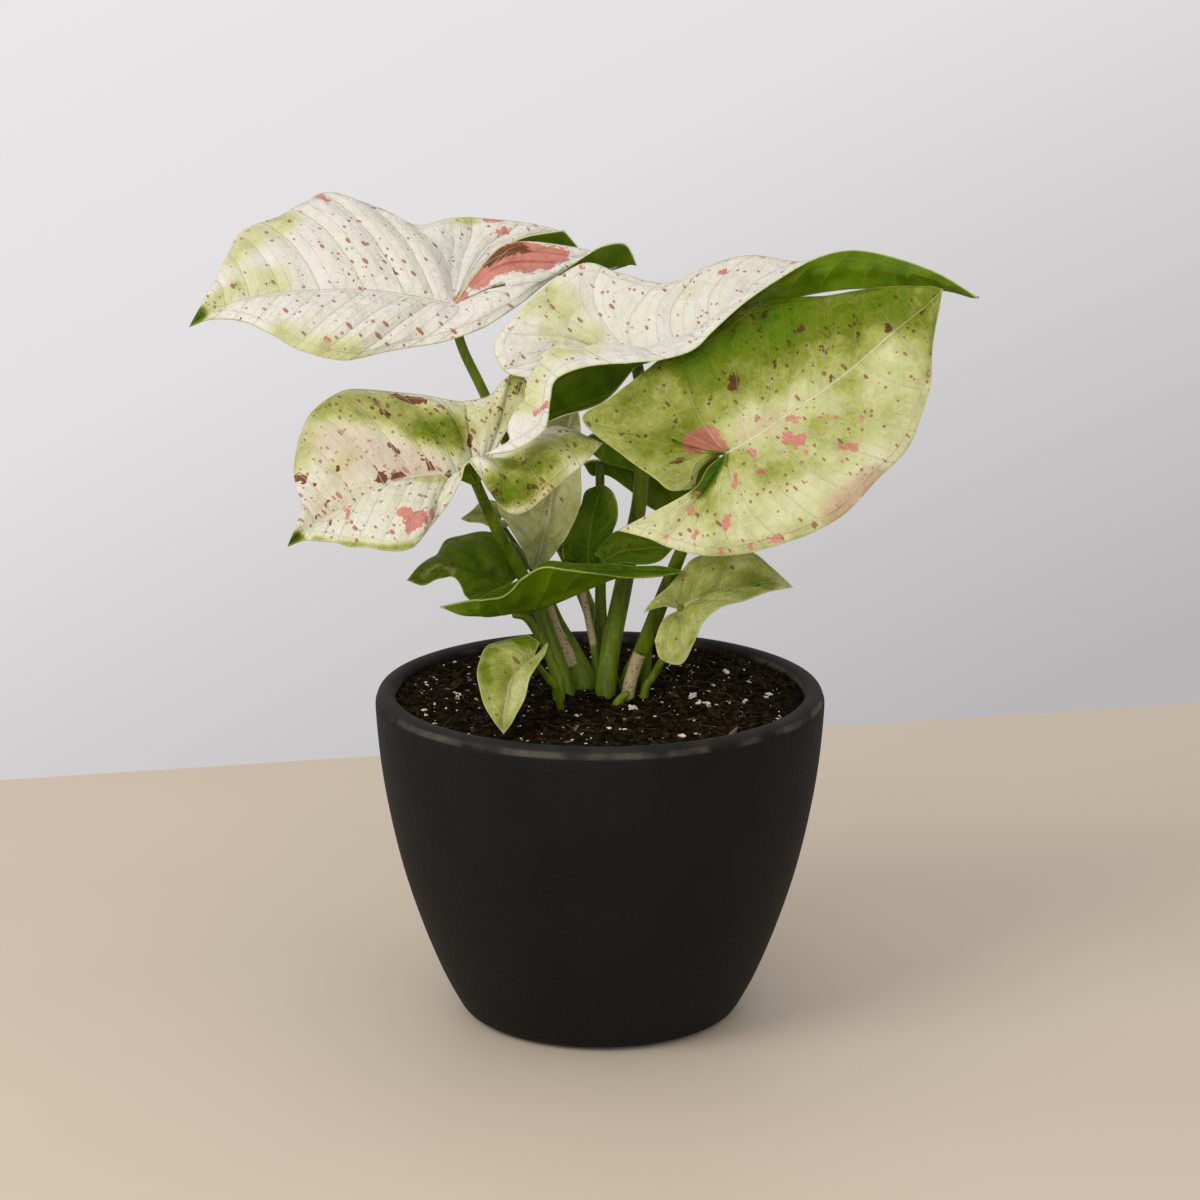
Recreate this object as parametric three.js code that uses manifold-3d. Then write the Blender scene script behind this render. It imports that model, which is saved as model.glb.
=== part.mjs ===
// An arrowhead plant (Syngonium) with cream, pink and green leaves, standing in soil in a plain tapered pot.
// Millimetres, +Z up. The origin is the centre of the pot's foot, on the surface that it stands on.
import * as THREE from "three";
import { mergeVertices } from "three/addons/utils/BufferGeometryUtils.js";
import Module from "manifold-3d";

const wasm = await Module();
wasm.setup();

// Driving dimensions
const POT_HEIGHT = 120;
const POT_RIM_RADIUS = 80;
const POT_FOOT_RADIUS = 44;
const POT_WALL = 7;
const POT_FLOOR = 8;
const POT_SIDES = 44; // an even share of the circle, used by the soil as well so that their flats line up
const GAP = 0.3; // clearance between pieces that touch
const BLADE_THICKNESS = 0.8;
const SOIL_LEVEL = 116.6; // at the wall, just under the lip
const SOIL_RINGS = 10;
const SOIL_WALL_LEVELS = [94, 54, 18, POT_FLOOR + GAP];
const SOIL_MOUND = { height: 1.4, spread: 34 };
const SOIL_HEAP = { x: -22, y: 56, height: 5, spread: 14 };
const PERLITE = { count: 56, seed: 11, size: 0.9, extraSize: 1.3, reach: 66, clearOfStems: 7 };
const STEM_ROOT_LEVEL = 108;
const STEM_SIDES = 7;
const STEM_STEPS_PER_STRETCH = 2;
const STEM_TAPER = 0.7; // below 1 the stem loses most of its thickness near the foot

// Outer side of the pot from foot to lip, as [radius, height].
const POT_OUTSIDE = [
  [POT_FOOT_RADIUS, 0],
  [48.8, 1.8],
  [52, 6],
  [58, 18],
  [64.6, 35],
  [70.6, 54],
  [75.2, 74],
  [78.4, 94],
  [POT_RIM_RADIUS, 113],
  [79.4, 117.8],
  [77.2, POT_HEIGHT],
];

// Inner side from lip to floor.
const POT_INSIDE = [
  [74.6, POT_HEIGHT],
  [POT_RIM_RADIUS - POT_WALL - 0.2, 118],
  [71.4, 94],
  [68, 74],
  [63.4, 54],
  [57.4, 35],
  [50.8, 18],
  [43, POT_FLOOR],
];

// Places on the plant are readings in a front view: how far right and down from its top left corner, in its
// own steps, and how far back from the pot's middle, in millimetres. The eye stands in front and looks down.
const VIEW = { eye: [0, -1294, 484], tiltDegrees: 14.4, stepsPerUnitSlope: 3766, centre: 600 };

// Each leaf blade: the midrib runs from the base, where the leaf stalk joins, to the tip.
// A rib starts at a share of the midrib's length and runs through the readings given, the last of which is
// on the margin. Ribs at share 0 fan out over the lobe behind the stalk, the first of them along its notch.
// A rib's reading without a depth lies on the flat through the rib's start that faces the way its side does.
// Left and right are as seen from above the leaf, looking from base to tip. up is the way its face looks, and
// arch is how far a rib with nothing between its ends bows that way, as a share of the rib's length.
const LEAVES = [
  {
    name: "01",
    material: "cream",
    up: [-0.03, -0.57, 0.82],
    arch: 0.08,
    steps: { length: 11, lobe: 11, cross: 6 },
    midrib: [
      [452, 306, 20], [420, 297, 18], [364, 292, 16], [298, 293, 13], [249, 299, 10], [214, 312, 6],
      [190, 327, 0],
    ],
    left: {
      facing: [-0.05, -0.52, 0.85],
      ribs: [
        [0, [484, 263, 29], [512, 242, 36], [572, 246, 44], [632, 262, 48]],
        [0, [500, 266, 31], [560, 262, 40], [612, 266, 44], [637, 264, 43]],
        [0, [505, 271, 30], [562, 270, 38], [606, 276, 42], [625, 244, 38]],
        [0, [508, 275, 28], [560, 275, 35], [592, 276, 38], [604, 245, 34]],
        [0, [510, 280, 25], [556, 278, 32], [586, 255, 31]], [0, [508, 284, 22], [570, 267, 28]],
        [0, [547, 284, 25]], [0, [522, 304, 18]], [0, [484, 328]], [0.03, [443, 342]],
        [0.1, [394, 350]], [0.2, [346, 361]], [0.36, [305, 351]], [0.52, [275, 336]],
        [0.7, [240, 321]], [0.86, [211, 319]],
      ],
    },
    right: {
      facing: [0, -0.62, 0.78],
      ribs: [
        [0, [482, 266, 34], [518, 240, 43], [563, 231, 51]],
        [0, [486, 264, 39], [532, 249, 50], [577, 246, 56]],
        [0, [485, 257, 43], [526, 241, 54], [562, 232, 59]], [0, [480, 250, 46], [533, 225, 58]],
        [0, [464, 256, 43], [492, 219, 57]], [0, [448, 260, 39], [455, 219, 54]],
        [0.05, [420, 227]], [0.12, [392, 213]], [0.2, [361, 201]], [0.27, [330, 193]],
        [0.34, [310, 200]], [0.46, [278, 216]], [0.6, [243, 233]], [0.76, [226, 258]],
        [0.88, [208, 295]],
      ],
    },
  },
  {
    name: "02",
    material: "cream",
    up: [-0.1, -0.7, 0.7],
    arch: 0.08,
    steps: { length: 10, lobe: 11, cross: 6 },
    midrib: [
      [477, 484, -16], [449, 474, -20], [422, 474, -22], [388, 484, -25], [350, 503, -28],
      [325, 520, -31], [306, 531, -35], [289, 546, -40],
    ],
    left: {
      facing: [-0.1, -0.5, 0.86],
      ribs: [
        [0, [496, 462, -21], [552, 426, -22], [603, 443, -30]],
        [0, [499, 461, -26], [548, 446, -33], [583, 464, -38]],
        [0, [493, 461, -28], [528, 464, -38], [562, 483, -42]],
        [0, [486, 460, -29], [508, 476, -40], [527, 510, -43]],
        [0, [480, 459, -29], [494, 474, -41], [505, 510, -43]],
        [0, [474, 459, -29], [484, 465, -38], [488, 490, -41]],
        [0, [472, 471, -24], [469, 461, -32]], [0.03, [465, 474, -25], [459, 482, -33]],
        [0.07, [456, 482, -27], [447, 503, -36]], [0.14, [440, 497, -29], [434, 525, -40]],
        [0.24, [413, 548]], [0.38, [385, 550]], [0.52, [355, 548]], [0.66, [335, 541]],
        [0.82, [308, 541]],
      ],
    },
    right: {
      facing: [-0.1, -0.82, 0.56],
      ribs: [
        [0, [506, 432, -8], [534, 388, -4]], [0, [500, 425, -6], [518, 373, -1]],
        [0, [492, 430, -8], [506, 380, -2]], [0, [490, 395]], [0, [464, 401]], [0.08, [437, 398]],
        [0.18, [400, 393]], [0.28, [369, 389]], [0.38, [345, 391]], [0.47, [322, 403]],
        [0.56, [306, 420]], [0.65, [297, 445]], [0.74, [293, 474]], [0.83, [300, 500]],
        [0.93, [298, 523]],
      ],
    },
  },
  {
    name: "03",
    material: "cream",
    up: [0.1, -0.5, 0.86],
    arch: 0.07,
    steps: { length: 11, lobe: 10, cross: 6 },
    midrib: [
      [636, 364, -3], [680, 346, -5], [722, 322, -6], [760, 304, -7], [800, 295, -9],
      [848, 288, -12], [900, 286, -16], [945, 288, -21], [978, 299, -28],
    ],
    left: {
      facing: [0.1, -0.5, 0.85],
      ribs: [
        [0, [590, 356, 5], [534, 380, -8]], [0, [574, 345, 7], [505, 372, -4]],
        [0, [566, 334, 7], [494, 346, 1]], [0, [570, 325, 8], [510, 320, 7]],
        [0, [580, 315, 11], [543, 288, 14]], [0, [600, 308, 13], [584, 264, 20]],
        [0, [618, 312, 11], [615, 272, 20]], [0.03, [640, 315, 9], [642, 281, 19]],
        [0.1, [660, 312, 8], [667, 283, 19]], [0.18, [690, 305, 9], [700, 270, 23]],
        [0.28, [725, 290, 8], [746, 256, 24]], [0.4, [772, 284, 5], [795, 262, 17]],
        [0.52, [812, 278, -1], [826, 258, 9]], [0.65, [860, 273, -6], [870, 257, 3]],
        [0.78, [908, 278, -11], [915, 267, -4]], [0.9, [946, 286, -18], [950, 281, -14]],
      ],
    },
    right: {
      facing: [0.1, -0.3, -0.95],
      ribs: [
        [0, [602, 402, -4], [552, 421, -29], [485, 455, -44]],
        [0, [585, 378, -6], [517, 424, -37], [515, 450, -46]],
        [0, [583, 368, -7], [528, 402, -31], [543, 432, -43]],
        [0, [586, 361, -8], [536, 378, -24], [551, 402, -37]],
        [0, [592, 358, -8], [550, 355, -19], [556, 379, -34]],
        [0, [605, 357, -7], [582, 351, -17], [586, 367, -32]],
        [0, [628, 357, -8], [622, 350, -17], [625, 363, -31]],
        [0.06, [655, 349, -16], [655, 360, -31]], [0.13, [684, 339, -16], [690, 350, -29]],
        [0.2, [706, 328, -15], [712, 332, -27]], [0.28, [734, 306, -14], [740, 305, -25]],
        [0.38, [765, 294, -16], [772, 282, -20]], [0.5, [806, 278, -15], [814, 260, -14]],
        [0.62, [845, 270, -16], [850, 251, -13]], [0.74, [888, 272, -18], [893, 256, -15]],
        [0.87, [932, 281, -24], [938, 273, -24]],
      ],
    },
  },
  {
    name: "04",
    material: "lime",
    up: [-0.1, -0.89, 0.44],
    arch: 0.07,
    steps: { length: 10, lobe: 8, cross: 5 },
    midrib: [
      [728, 453, -42], [757, 435, -42], [787, 416, -41], [839, 378, -38], [894, 331, -35],
      [925, 306, -34], [944, 289, -34],
    ],
    left: {
      facing: [-0.1, -0.9, 0.42],
      ribs: [
        [0, [716, 456, -37], [701, 470, -39], [693, 488, -43]],
        [0, [708, 458, -39], [672, 489, -46]], [0, [698, 454, -38], [652, 478, -43]],
        [0, [680, 446, -36], [622, 455, -37]], [0, [655, 432, -33], [583, 421, -30]],
        [0, [668, 420, -31], [609, 400, -28]], [0, [684, 410, -31], [641, 374, -25]],
        [0.05, [708, 400, -30], [670, 351, -21]], [0.14, [740, 380, -28], [708, 334, -17]],
        [0.25, [772, 360, -26], [745, 309, -13]], [0.38, [805, 340, -25], [786, 298, -12]],
        [0.52, [842, 322, -24], [830, 296, -12]], [0.66, [875, 308, -25], [868, 288, -16]],
        [0.8, [908, 295, -28], [905, 286, -22]], [0.92, [932, 286, -29]],
      ],
    },
    right: {
      facing: [-0.1, -0.88, 0.46],
      ribs: [
        [0, [708, 467, -44], [694, 487, -47], [660, 509, -48], [619, 530, -46]],
        [0, [706, 490, -46], [676, 518, -49], [646, 537]],
        [0, [712, 492, -47], [692, 525, -50], [672, 548]], [0, [708, 557]], [0, [745, 553]],
        [0.06, [778, 544]], [0.14, [812, 533]], [0.24, [845, 512]], [0.35, [878, 479]],
        [0.47, [908, 446]], [0.6, [925, 402]], [0.73, [931, 368]], [0.84, [935, 335]],
        [0.94, [939, 306]],
      ],
    },
  },
  {
    name: "05",
    material: "lime",
    up: [0.1, 0.75, 0.65],
    arch: 0.1,
    steps: { length: 7, lobe: 4, cross: 3 },
    midrib: [
      [600, 461, 16], [622, 466, 20], [650, 477, 26], [686, 488, 34], [718, 500, 42],
    ],
    left: {
      facing: [0.1, 0.7, 0.7],
      ribs: [
        [0, [582, 462, 20]], [0, [592, 476, 23]], [0, [606, 474, 24]], [0.25, [628, 490, 27]],
        [0.5, [652, 508, 34]], [0.75, [690, 520, 42]],
      ],
    },
    right: {
      facing: [0.1, 0.7, 0.7],
      ribs: [
        [0, [580, 448, 17]], [0, [590, 436, 16]], [0, [612, 428, 15]], [0.3, [650, 438, 18]],
        [0.6, [698, 442, 22]], [0.82, [724, 466, 30]],
      ],
    },
  },
  {
    name: "06",
    material: "cream",
    up: [0, -0.95, 0.3],
    arch: -0.1,
    steps: { length: 7, lobe: 4, cross: 3 },
    midrib: [
      [537, 571, 12], [541, 548, 10], [549, 512, 10], [559, 465, 14], [568, 425, 20],
      [573, 403, 24],
    ],
    left: {
      facing: [0, -0.9, 0.4],
      ribs: [
        [0, [529, 566, 8]], [0.1, [522, 547, 2]], [0.25, [510, 527, -2]], [0.42, [498, 505, -2]],
        [0.58, [505, 470, 2]], [0.75, [528, 435, 10]], [0.9, [556, 410, 19]],
      ],
    },
    right: {
      facing: [0, -0.9, 0.4],
      ribs: [
        [0, [543, 566, 8]], [0.12, [560, 546, -1]], [0.25, [569, 532, -3]], [0.42, [581, 503, -4]],
        [0.58, [580, 468, 1]], [0.75, [579, 434, 9]], [0.9, [577, 410, 20]],
      ],
    },
  },
  {
    name: "07",
    material: "green",
    up: [0, -0.95, 0.3],
    arch: -0.1,
    steps: { length: 7, lobe: 4, cross: 3 },
    midrib: [
      [588, 566, 7], [590, 545, 5], [592, 520, 6], [597, 500, 9], [602, 484, 13],
    ],
    left: {
      facing: [0, -0.9, 0.4],
      ribs: [
        [0, [576, 569, 5]], [0, [564, 559, 3]], [0.2, [562, 540, 2]], [0.4, [569, 521, 5]],
        [0.6, [579, 506, 8]], [0.8, [587, 492, 11]],
      ],
    },
    right: {
      facing: [0, -0.9, 0.4],
      ribs: [
        [0, [599, 569, 7]], [0, [608, 556, 6]], [0.2, [611, 536, 3]], [0.4, [617, 520, 0]],
        [0.6, [616, 505, 2]], [0.8, [610, 491, 7]],
      ],
    },
  },
  {
    name: "08",
    material: "green",
    up: [0, -0.71, 0.71],
    arch: 0.1,
    steps: { length: 7, lobe: 4, cross: 3 },
    midrib: [
      [604, 560, -4], [620, 553, -3], [640, 549, -3], [658, 548, -4], [675, 548, -5],
    ],
    left: {
      facing: [0, -0.7, 0.7],
      ribs: [
        [0, [595, 554, -3]], [0, [606, 541, -1]], [0.3, [619, 531, 0]], [0.55, [637, 534, 0]],
        [0.8, [660, 541, -2]],
      ],
    },
    right: {
      facing: [0, -0.6, 0.8],
      ribs: [
        [0, [606, 565, -7]], [0.15, [618, 563, -8]], [0.4, [637, 565, -9]], [0.7, [660, 561, -8]],
      ],
    },
  },
  {
    name: "09",
    material: "green",
    up: [0, -0.51, 0.86],
    arch: 0.08,
    steps: { length: 9, lobe: 5, cross: 4 },
    midrib: [
      [514, 612, -14], [535, 608, -14], [560, 601, -16], [588, 586, -18], [616, 577, -18],
      [650, 573, -18], [687, 572, -20],
    ],
    left: {
      facing: [0, -0.5, 0.85],
      ribs: [
        [0, [495, 609, -14], [470, 603, -14]], [0, [492, 592, -12]], [0, [522, 577, -8]],
        [0.18, [545, 563, -5]], [0.35, [575, 563, -8]], [0.52, [605, 564, -13]],
        [0.7, [631, 570, -16], [632, 565, -15]], [0.86, [660, 570, -18], [660, 567, -16]],
      ],
    },
    right: {
      facing: [0, -0.9, 0.3],
      ribs: [
        [0, [485, 616, -18], [462, 614, -22], [440, 606, -22]],
        [0, [492, 617, -20], [476, 614, -24], [470, 601, -24]],
        [0, [500, 613, -21], [484, 598, -27]], [0, [510, 606, -22], [505, 595, -29]],
        [0.08, [526, 598, -22], [521, 579, -29]], [0.2, [545, 590, -23], [541, 567, -29]],
        [0.36, [572, 584, -24], [568, 569, -29]], [0.52, [602, 578, -23], [600, 574, -27]],
        [0.68, [622, 578, -24]], [0.84, [655, 578, -23]],
      ],
    },
  },
  {
    name: "10",
    material: "green",
    up: [0, -0.76, 0.65],
    arch: 0.09,
    steps: { length: 7, lobe: 4, cross: 3 },
    midrib: [
      [510, 585, 6], [492, 577, 5], [480, 571, 4], [463, 567, 3], [447, 567, 1], [430, 572, -2],
      [407, 580, -8],
    ],
    left: {
      facing: [0, -0.7, 0.7],
      ribs: [
        [0, [500, 600, 0]], [0, [486, 603, -1]], [0.05, [470, 601, -1]], [0.25, [461, 588, -2]],
        [0.45, [452, 577, -3]], [0.6, [440, 579, -5]], [0.8, [424, 584, -7]],
      ],
    },
    right: {
      facing: [0, -0.75, 0.65],
      ribs: [
        [0, [533, 566, 16]], [0, [524, 553, 18]], [0, [508, 541, 19]], [0.05, [487, 533, 19]],
        [0.2, [463, 535, 18]], [0.36, [447, 541, 15]], [0.5, [436, 554, 10]], [0.66, [427, 560, 2]],
        [0.82, [417, 569, -4]],
      ],
    },
  },
  {
    name: "11",
    material: "lime",
    up: [0, -0.8, 0.6],
    arch: 0.09,
    steps: { length: 7, lobe: 4, cross: 3 },
    midrib: [
      [680, 609, -22], [693, 602, -22], [721, 591, -20], [748, 586, -20], [771, 583, -22],
      [792, 586, -26],
    ],
    left: {
      facing: [0, -0.8, 0.6],
      ribs: [
        [0, [664, 606, -26], [643, 612, -30]], [0, [668, 600, -24], [652, 600, -26]],
        [0, [668, 585, -20]], [0.05, [683, 570, -16]], [0.2, [694, 557, -12]],
        [0.4, [724, 551, -9]], [0.6, [750, 552, -11]], [0.8, [772, 567, -18]],
      ],
    },
    right: {
      facing: [0, -0.8, 0.6],
      ribs: [
        [0, [664, 618, -28], [654, 640, -34]], [0, [672, 630, -30], [660, 658, -36]],
        [0, [684, 634, -31], [681, 664, -36]], [0, [688, 626, -30], [693, 645, -34]],
        [0.1, [702, 625, -32]], [0.25, [722, 606, -30]], [0.4, [745, 600, -29]],
        [0.62, [765, 592, -26]], [0.82, [780, 589, -25]],
      ],
    },
  },
  {
    name: "12",
    material: "lime",
    up: [-0.1, -0.8, 0.6],
    arch: 0.1,
    steps: { length: 7, lobe: 4, cross: 3 },
    midrib: [
      [533, 660, -34], [521, 667, -37], [511, 684, -42], [506, 699, -46], [504, 716, -51],
      [504, 735, -57],
    ],
    left: {
      facing: [0, -0.7, 0.7],
      ribs: [
        [0, [549, 643, -33]], [0.1, [544, 653, -37]], [0.28, [535, 668, -43]],
        [0.5, [526, 688, -49]], [0.7, [520, 706, -53]], [0.86, [513, 721, -56]],
      ],
    },
    right: {
      facing: [0, -0.8, 0.6],
      ribs: [
        [0, [541, 642, -26]], [0, [528, 637, -24]], [0, [508, 638, -25]], [0.1, [489, 647, -30]],
        [0.28, [478, 664, -36]], [0.45, [477, 682, -42]], [0.65, [484, 705, -48]],
        [0.84, [495, 722, -54]],
      ],
    },
  },
  {
    name: "13",
    material: "lime",
    up: [0, -0.71, 0.71],
    arch: 0.1,
    steps: { length: 7, lobe: 4, cross: 3 },
    midrib: [
      [500, 520, 30], [488, 516, 30], [475, 515, 29], [461, 519, 27],
    ],
    left: {
      facing: [0, -0.7, 0.7],
      ribs: [
        [0, [510, 526, 26]], [0.15, [497, 529, 23]], [0.5, [482, 524, 24]], [0.78, [470, 521, 26]],
      ],
    },
    right: {
      facing: [0, -0.7, 0.7],
      ribs: [
        [0, [508, 510, 34]], [0.1, [498, 503, 36]], [0.45, [484, 501, 35]], [0.75, [473, 509, 32]],
      ],
    },
  },
];

// Leaf stalks from the root in the soil to the blade, with their radii at foot and head.
const STALKS = [
  {
    name: "01",
    foot: 2.4,
    head: 1.7,
    root: [7, 16],
    route: [
      [612, 678, 17], [600, 645, 21], [585, 600, 25], [560, 545, 27], [531, 495, 27],
      [486, 396, 24], [463, 345, 22], [452, 307, 21],
    ],
  },
  {
    name: "02",
    foot: 3,
    head: 1.8,
    root: [-11, -4],
    route: [
      [566, 686, -2], [556, 655, 1], [541, 614, 4], [520, 574, 3], [499, 532, -2], [487, 505, -8],
      [476, 482, -17],
    ],
  },
  {
    name: "03",
    foot: 3.6,
    head: 2.2,
    root: [2, -7],
    route: [
      [605, 690, -5], [612, 645, 1], [622, 590, 9], [630, 545, 14], [639, 500, 12], [643, 450, 8],
      [642, 400, 4], [638, 366, -1],
    ],
  },
  {
    name: "04",
    foot: 2.5,
    head: 1.7,
    root: [10, 1],
    route: [
      [628, 684, 1], [641, 650, 0], [662, 600, -4], [681, 555, -11], [701, 510, -22],
      [717, 473, -32], [728, 455, -40],
    ],
  },
  {
    name: "05",
    foot: 2.2,
    head: 1.6,
    root: [-1, 11],
    route: [
      [597, 680, 11], [597, 650, 13], [599, 600, 16], [600, 540, 18], [601, 490, 18],
      [600, 463, 18],
    ],
  },
  {
    name: "06",
    foot: 3,
    head: 1.6,
    root: [-6, 3],
    route: [
      [582, 686, 5], [572, 655, 9], [559, 625, 11], [547, 595, 12], [537, 573, 12],
    ],
  },
  {
    name: "07",
    foot: 1.7,
    head: 1.2,
    root: [0, 1],
    route: [
      [600, 688, 1], [595, 650, 2], [589, 620, 4], [584, 590, 6], [588, 570, 8],
    ],
  },
  {
    name: "08",
    foot: 1.5,
    head: 1.1,
    root: [8, 8],
    route: [
      [615, 675, 8], [606, 640, 8], [604, 600, 6], [604, 575, 2], [604, 561, -3],
    ],
  },
  {
    name: "09",
    foot: 2,
    head: 1.5,
    root: [-14, -12],
    route: [
      [558, 684, -11], [550, 655, -10], [537, 632, -9], [525, 618, -10], [515, 614, -13],
    ],
  },
  {
    name: "10",
    foot: 1.7,
    head: 1.2,
    root: [-10, 11],
    route: [
      [566, 678, 12], [552, 650, 14], [534, 620, 14], [520, 600, 12], [511, 588, 6],
    ],
  },
  {
    name: "11",
    foot: 1.7,
    head: 1.2,
    root: [15, -8],
    route: [
      [644, 690, -8], [653, 675, -7], [668, 650, -9], [679, 625, -14], [680, 607, -23],
    ],
  },
  {
    name: "12",
    foot: 1.6,
    head: 1.1,
    root: [-12, -19],
    route: [
      [556, 692, -22], [548, 678, -26], [539, 668, -30], [534, 662, -33],
    ],
  },
  {
    name: "13",
    foot: 1.4,
    head: 0.9,
    root: [-6, 21],
    route: [
      [575, 660, 26], [555, 620, 31], [530, 570, 33], [510, 535, 32], [501, 522, 30],
    ],
  },
];

// Remains of older leaves: a stalk cut off short, a withered sheath and a low bract at the foot of the stems,
// with the places that each runs through above its root, in millimetres.
const REMAINS = [
  {
    name: "cut_stub",
    foot: 2.5,
    head: 2.4,
    root: [9, -9],
    places: [
      [10, -9, 120], [12, -8, 128], [14, -8, 134],
    ],
  },
  {
    name: "old_sheath",
    foot: 2.6,
    head: 1.2,
    root: [15, 5],
    places: [
      [16, 5, 120], [17, 6, 130], [17, 8, 141],
    ],
  },
  {
    name: "bract",
    foot: 3.2,
    head: 3.4,
    root: [6, -17],
    places: [
      [6, -17, 118], [8, -17, 123],
    ],
  },
];

const MATERIALS = {
  pot: { color: 0x232526, roughness: 0.85, metalness: 0 },
  soil: { color: 0x2a1f17, roughness: 1, metalness: 0 },
  stalk: { color: 0x567416, roughness: 0.5, metalness: 0 },
  cream: { color: 0xe2e0c6, roughness: 0.5, metalness: 0 },
  lime: { color: 0xa9b45c, roughness: 0.5, metalness: 0 },
  green: { color: 0x2f4f0d, roughness: 0.4, metalness: 0 },
};

function vector([x, y, z]) {
  return new THREE.Vector3(x, y, z);
}

function nearestMillimetre(place) {
  return place.clone().round();
}

// The way that the eye looks at a reading, with a reach of one millimetre along the view's axis.
function sightLine(right, down) {
  const tilt = THREE.MathUtils.degToRad(VIEW.tiltDegrees);
  const across = (right - VIEW.centre) / VIEW.stepsPerUnitSlope;
  const below = (down - VIEW.centre) / VIEW.stepsPerUnitSlope;
  const forward = Math.cos(tilt) - below * Math.sin(tilt);
  const upward = -Math.sin(tilt) - below * Math.cos(tilt);
  return new THREE.Vector3(across, forward, upward);
}

// The place of a reading with a depth.
function placeAtDepth([right, down, depth]) {
  const eye = vector(VIEW.eye);
  const line = sightLine(right, down);
  return eye.clone().addScaledVector(line, (depth - eye.y) / line.y);
}

// The place of a reading without a depth, on the flat through a point that faces a given way.
function placeOnFlat([right, down], point, facing) {
  const eye = vector(VIEW.eye);
  const line = sightLine(right, down);
  const reach = facing.dot(point.clone().sub(eye)) / facing.dot(line);
  return eye.addScaledVector(line, reach);
}

function curveThrough(points) {
  return new THREE.CatmullRomCurve3(points, false, "catmullrom", 0.5);
}

// A closed geometry as a solid for cutting and joining.
function toSolid(geometry) {
  const bare = new THREE.BufferGeometry();
  bare.setAttribute("position", geometry.getAttribute("position"));
  bare.setIndex(geometry.getIndex());
  const merged = mergeVertices(bare, 1e-4);
  const mesh = new wasm.Mesh({
    numProp: 3,
    vertProperties: merged.getAttribute("position").array,
    triVerts: new Uint32Array(merged.getIndex().array),
  });
  return new wasm.Manifold(mesh);
}

function toGeometry(solid) {
  const mesh = solid.getMesh();
  const geometry = new THREE.BufferGeometry();
  geometry.setAttribute("position", new THREE.BufferAttribute(mesh.vertProperties, 3));
  geometry.setIndex(new THREE.BufferAttribute(mesh.triVerts, 1));
  return geometry;
}

// The biggest body of a cut solid, without the scraps.
function largestBody(solid) {
  return solid.decompose().reduce((best, body) => (body.volume() > best.volume() ? body : best));
}

function geometryFrom(points, triangles) {
  const geometry = new THREE.BufferGeometry();
  const positions = new Float32Array(points.flatMap((p) => [p.x, p.y, p.z]));
  geometry.setAttribute("position", new THREE.BufferAttribute(positions, 3));
  geometry.setIndex(triangles.flat());
  return geometry;
}

// Seeded random numbers from 0 to 1 (mulberry32).
function randomFrom(seed) {
  let state = seed;
  return () => {
    state = (state + 0x6d2b79f5) | 0;
    let t = Math.imul(state ^ (state >>> 15), 1 | state);
    t = (t + Math.imul(t ^ (t >>> 7), 61 | t)) ^ t;
    return ((t ^ (t >>> 14)) >>> 0) / 4294967296;
  };
}

// --- Pot and soil ---

function potGeometry() {
  const outline = [[0, 0], ...POT_OUTSIDE, ...POT_INSIDE, [0, POT_FLOOR]];
  const profile = outline.map(([radius, z]) => new THREE.Vector2(radius, z));
  const lathe = new THREE.LatheGeometry(profile, POT_SIDES);
  lathe.rotateX(Math.PI / 2);
  return toGeometry(toSolid(lathe));
}

// Radius of the pot's inner side at a height.
function potInnerRadius(z) {
  const inside = [...POT_INSIDE].reverse();
  const next = Math.max(1, inside.findIndex(([, height]) => height >= z));
  const [[r0, z0], [r1, z1]] = [inside[next - 1], inside[next]];
  return THREE.MathUtils.mapLinear(z, z0, z1, r0, r1);
}

// Height of the soil: a low mound round the stems, a heap at the back and small lumps all over.
function soilHeight(x, y) {
  const radius = Math.hypot(x, y);
  const mound = SOIL_MOUND.height * Math.exp(-((radius / SOIL_MOUND.spread) ** 2));
  const fromHeap = Math.hypot(x - SOIL_HEAP.x, y - SOIL_HEAP.y);
  const heap = SOIL_HEAP.height * Math.exp(-((fromHeap / SOIL_HEAP.spread) ** 2));
  const lumps =
    0.55 * Math.sin(x * 0.43 + 1.3) * Math.sin(y * 0.39 + 0.4) +
    0.45 * Math.sin(x * 0.91 - y * 0.33 + 2) * Math.sin(y * 0.83 + x * 0.27) +
    0.3 * Math.sin(x * 1.7 + y * 0.6) * Math.cos(y * 1.5 - x * 0.4);
  return SOIL_LEVEL + mound + heap + lumps;
}

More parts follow.
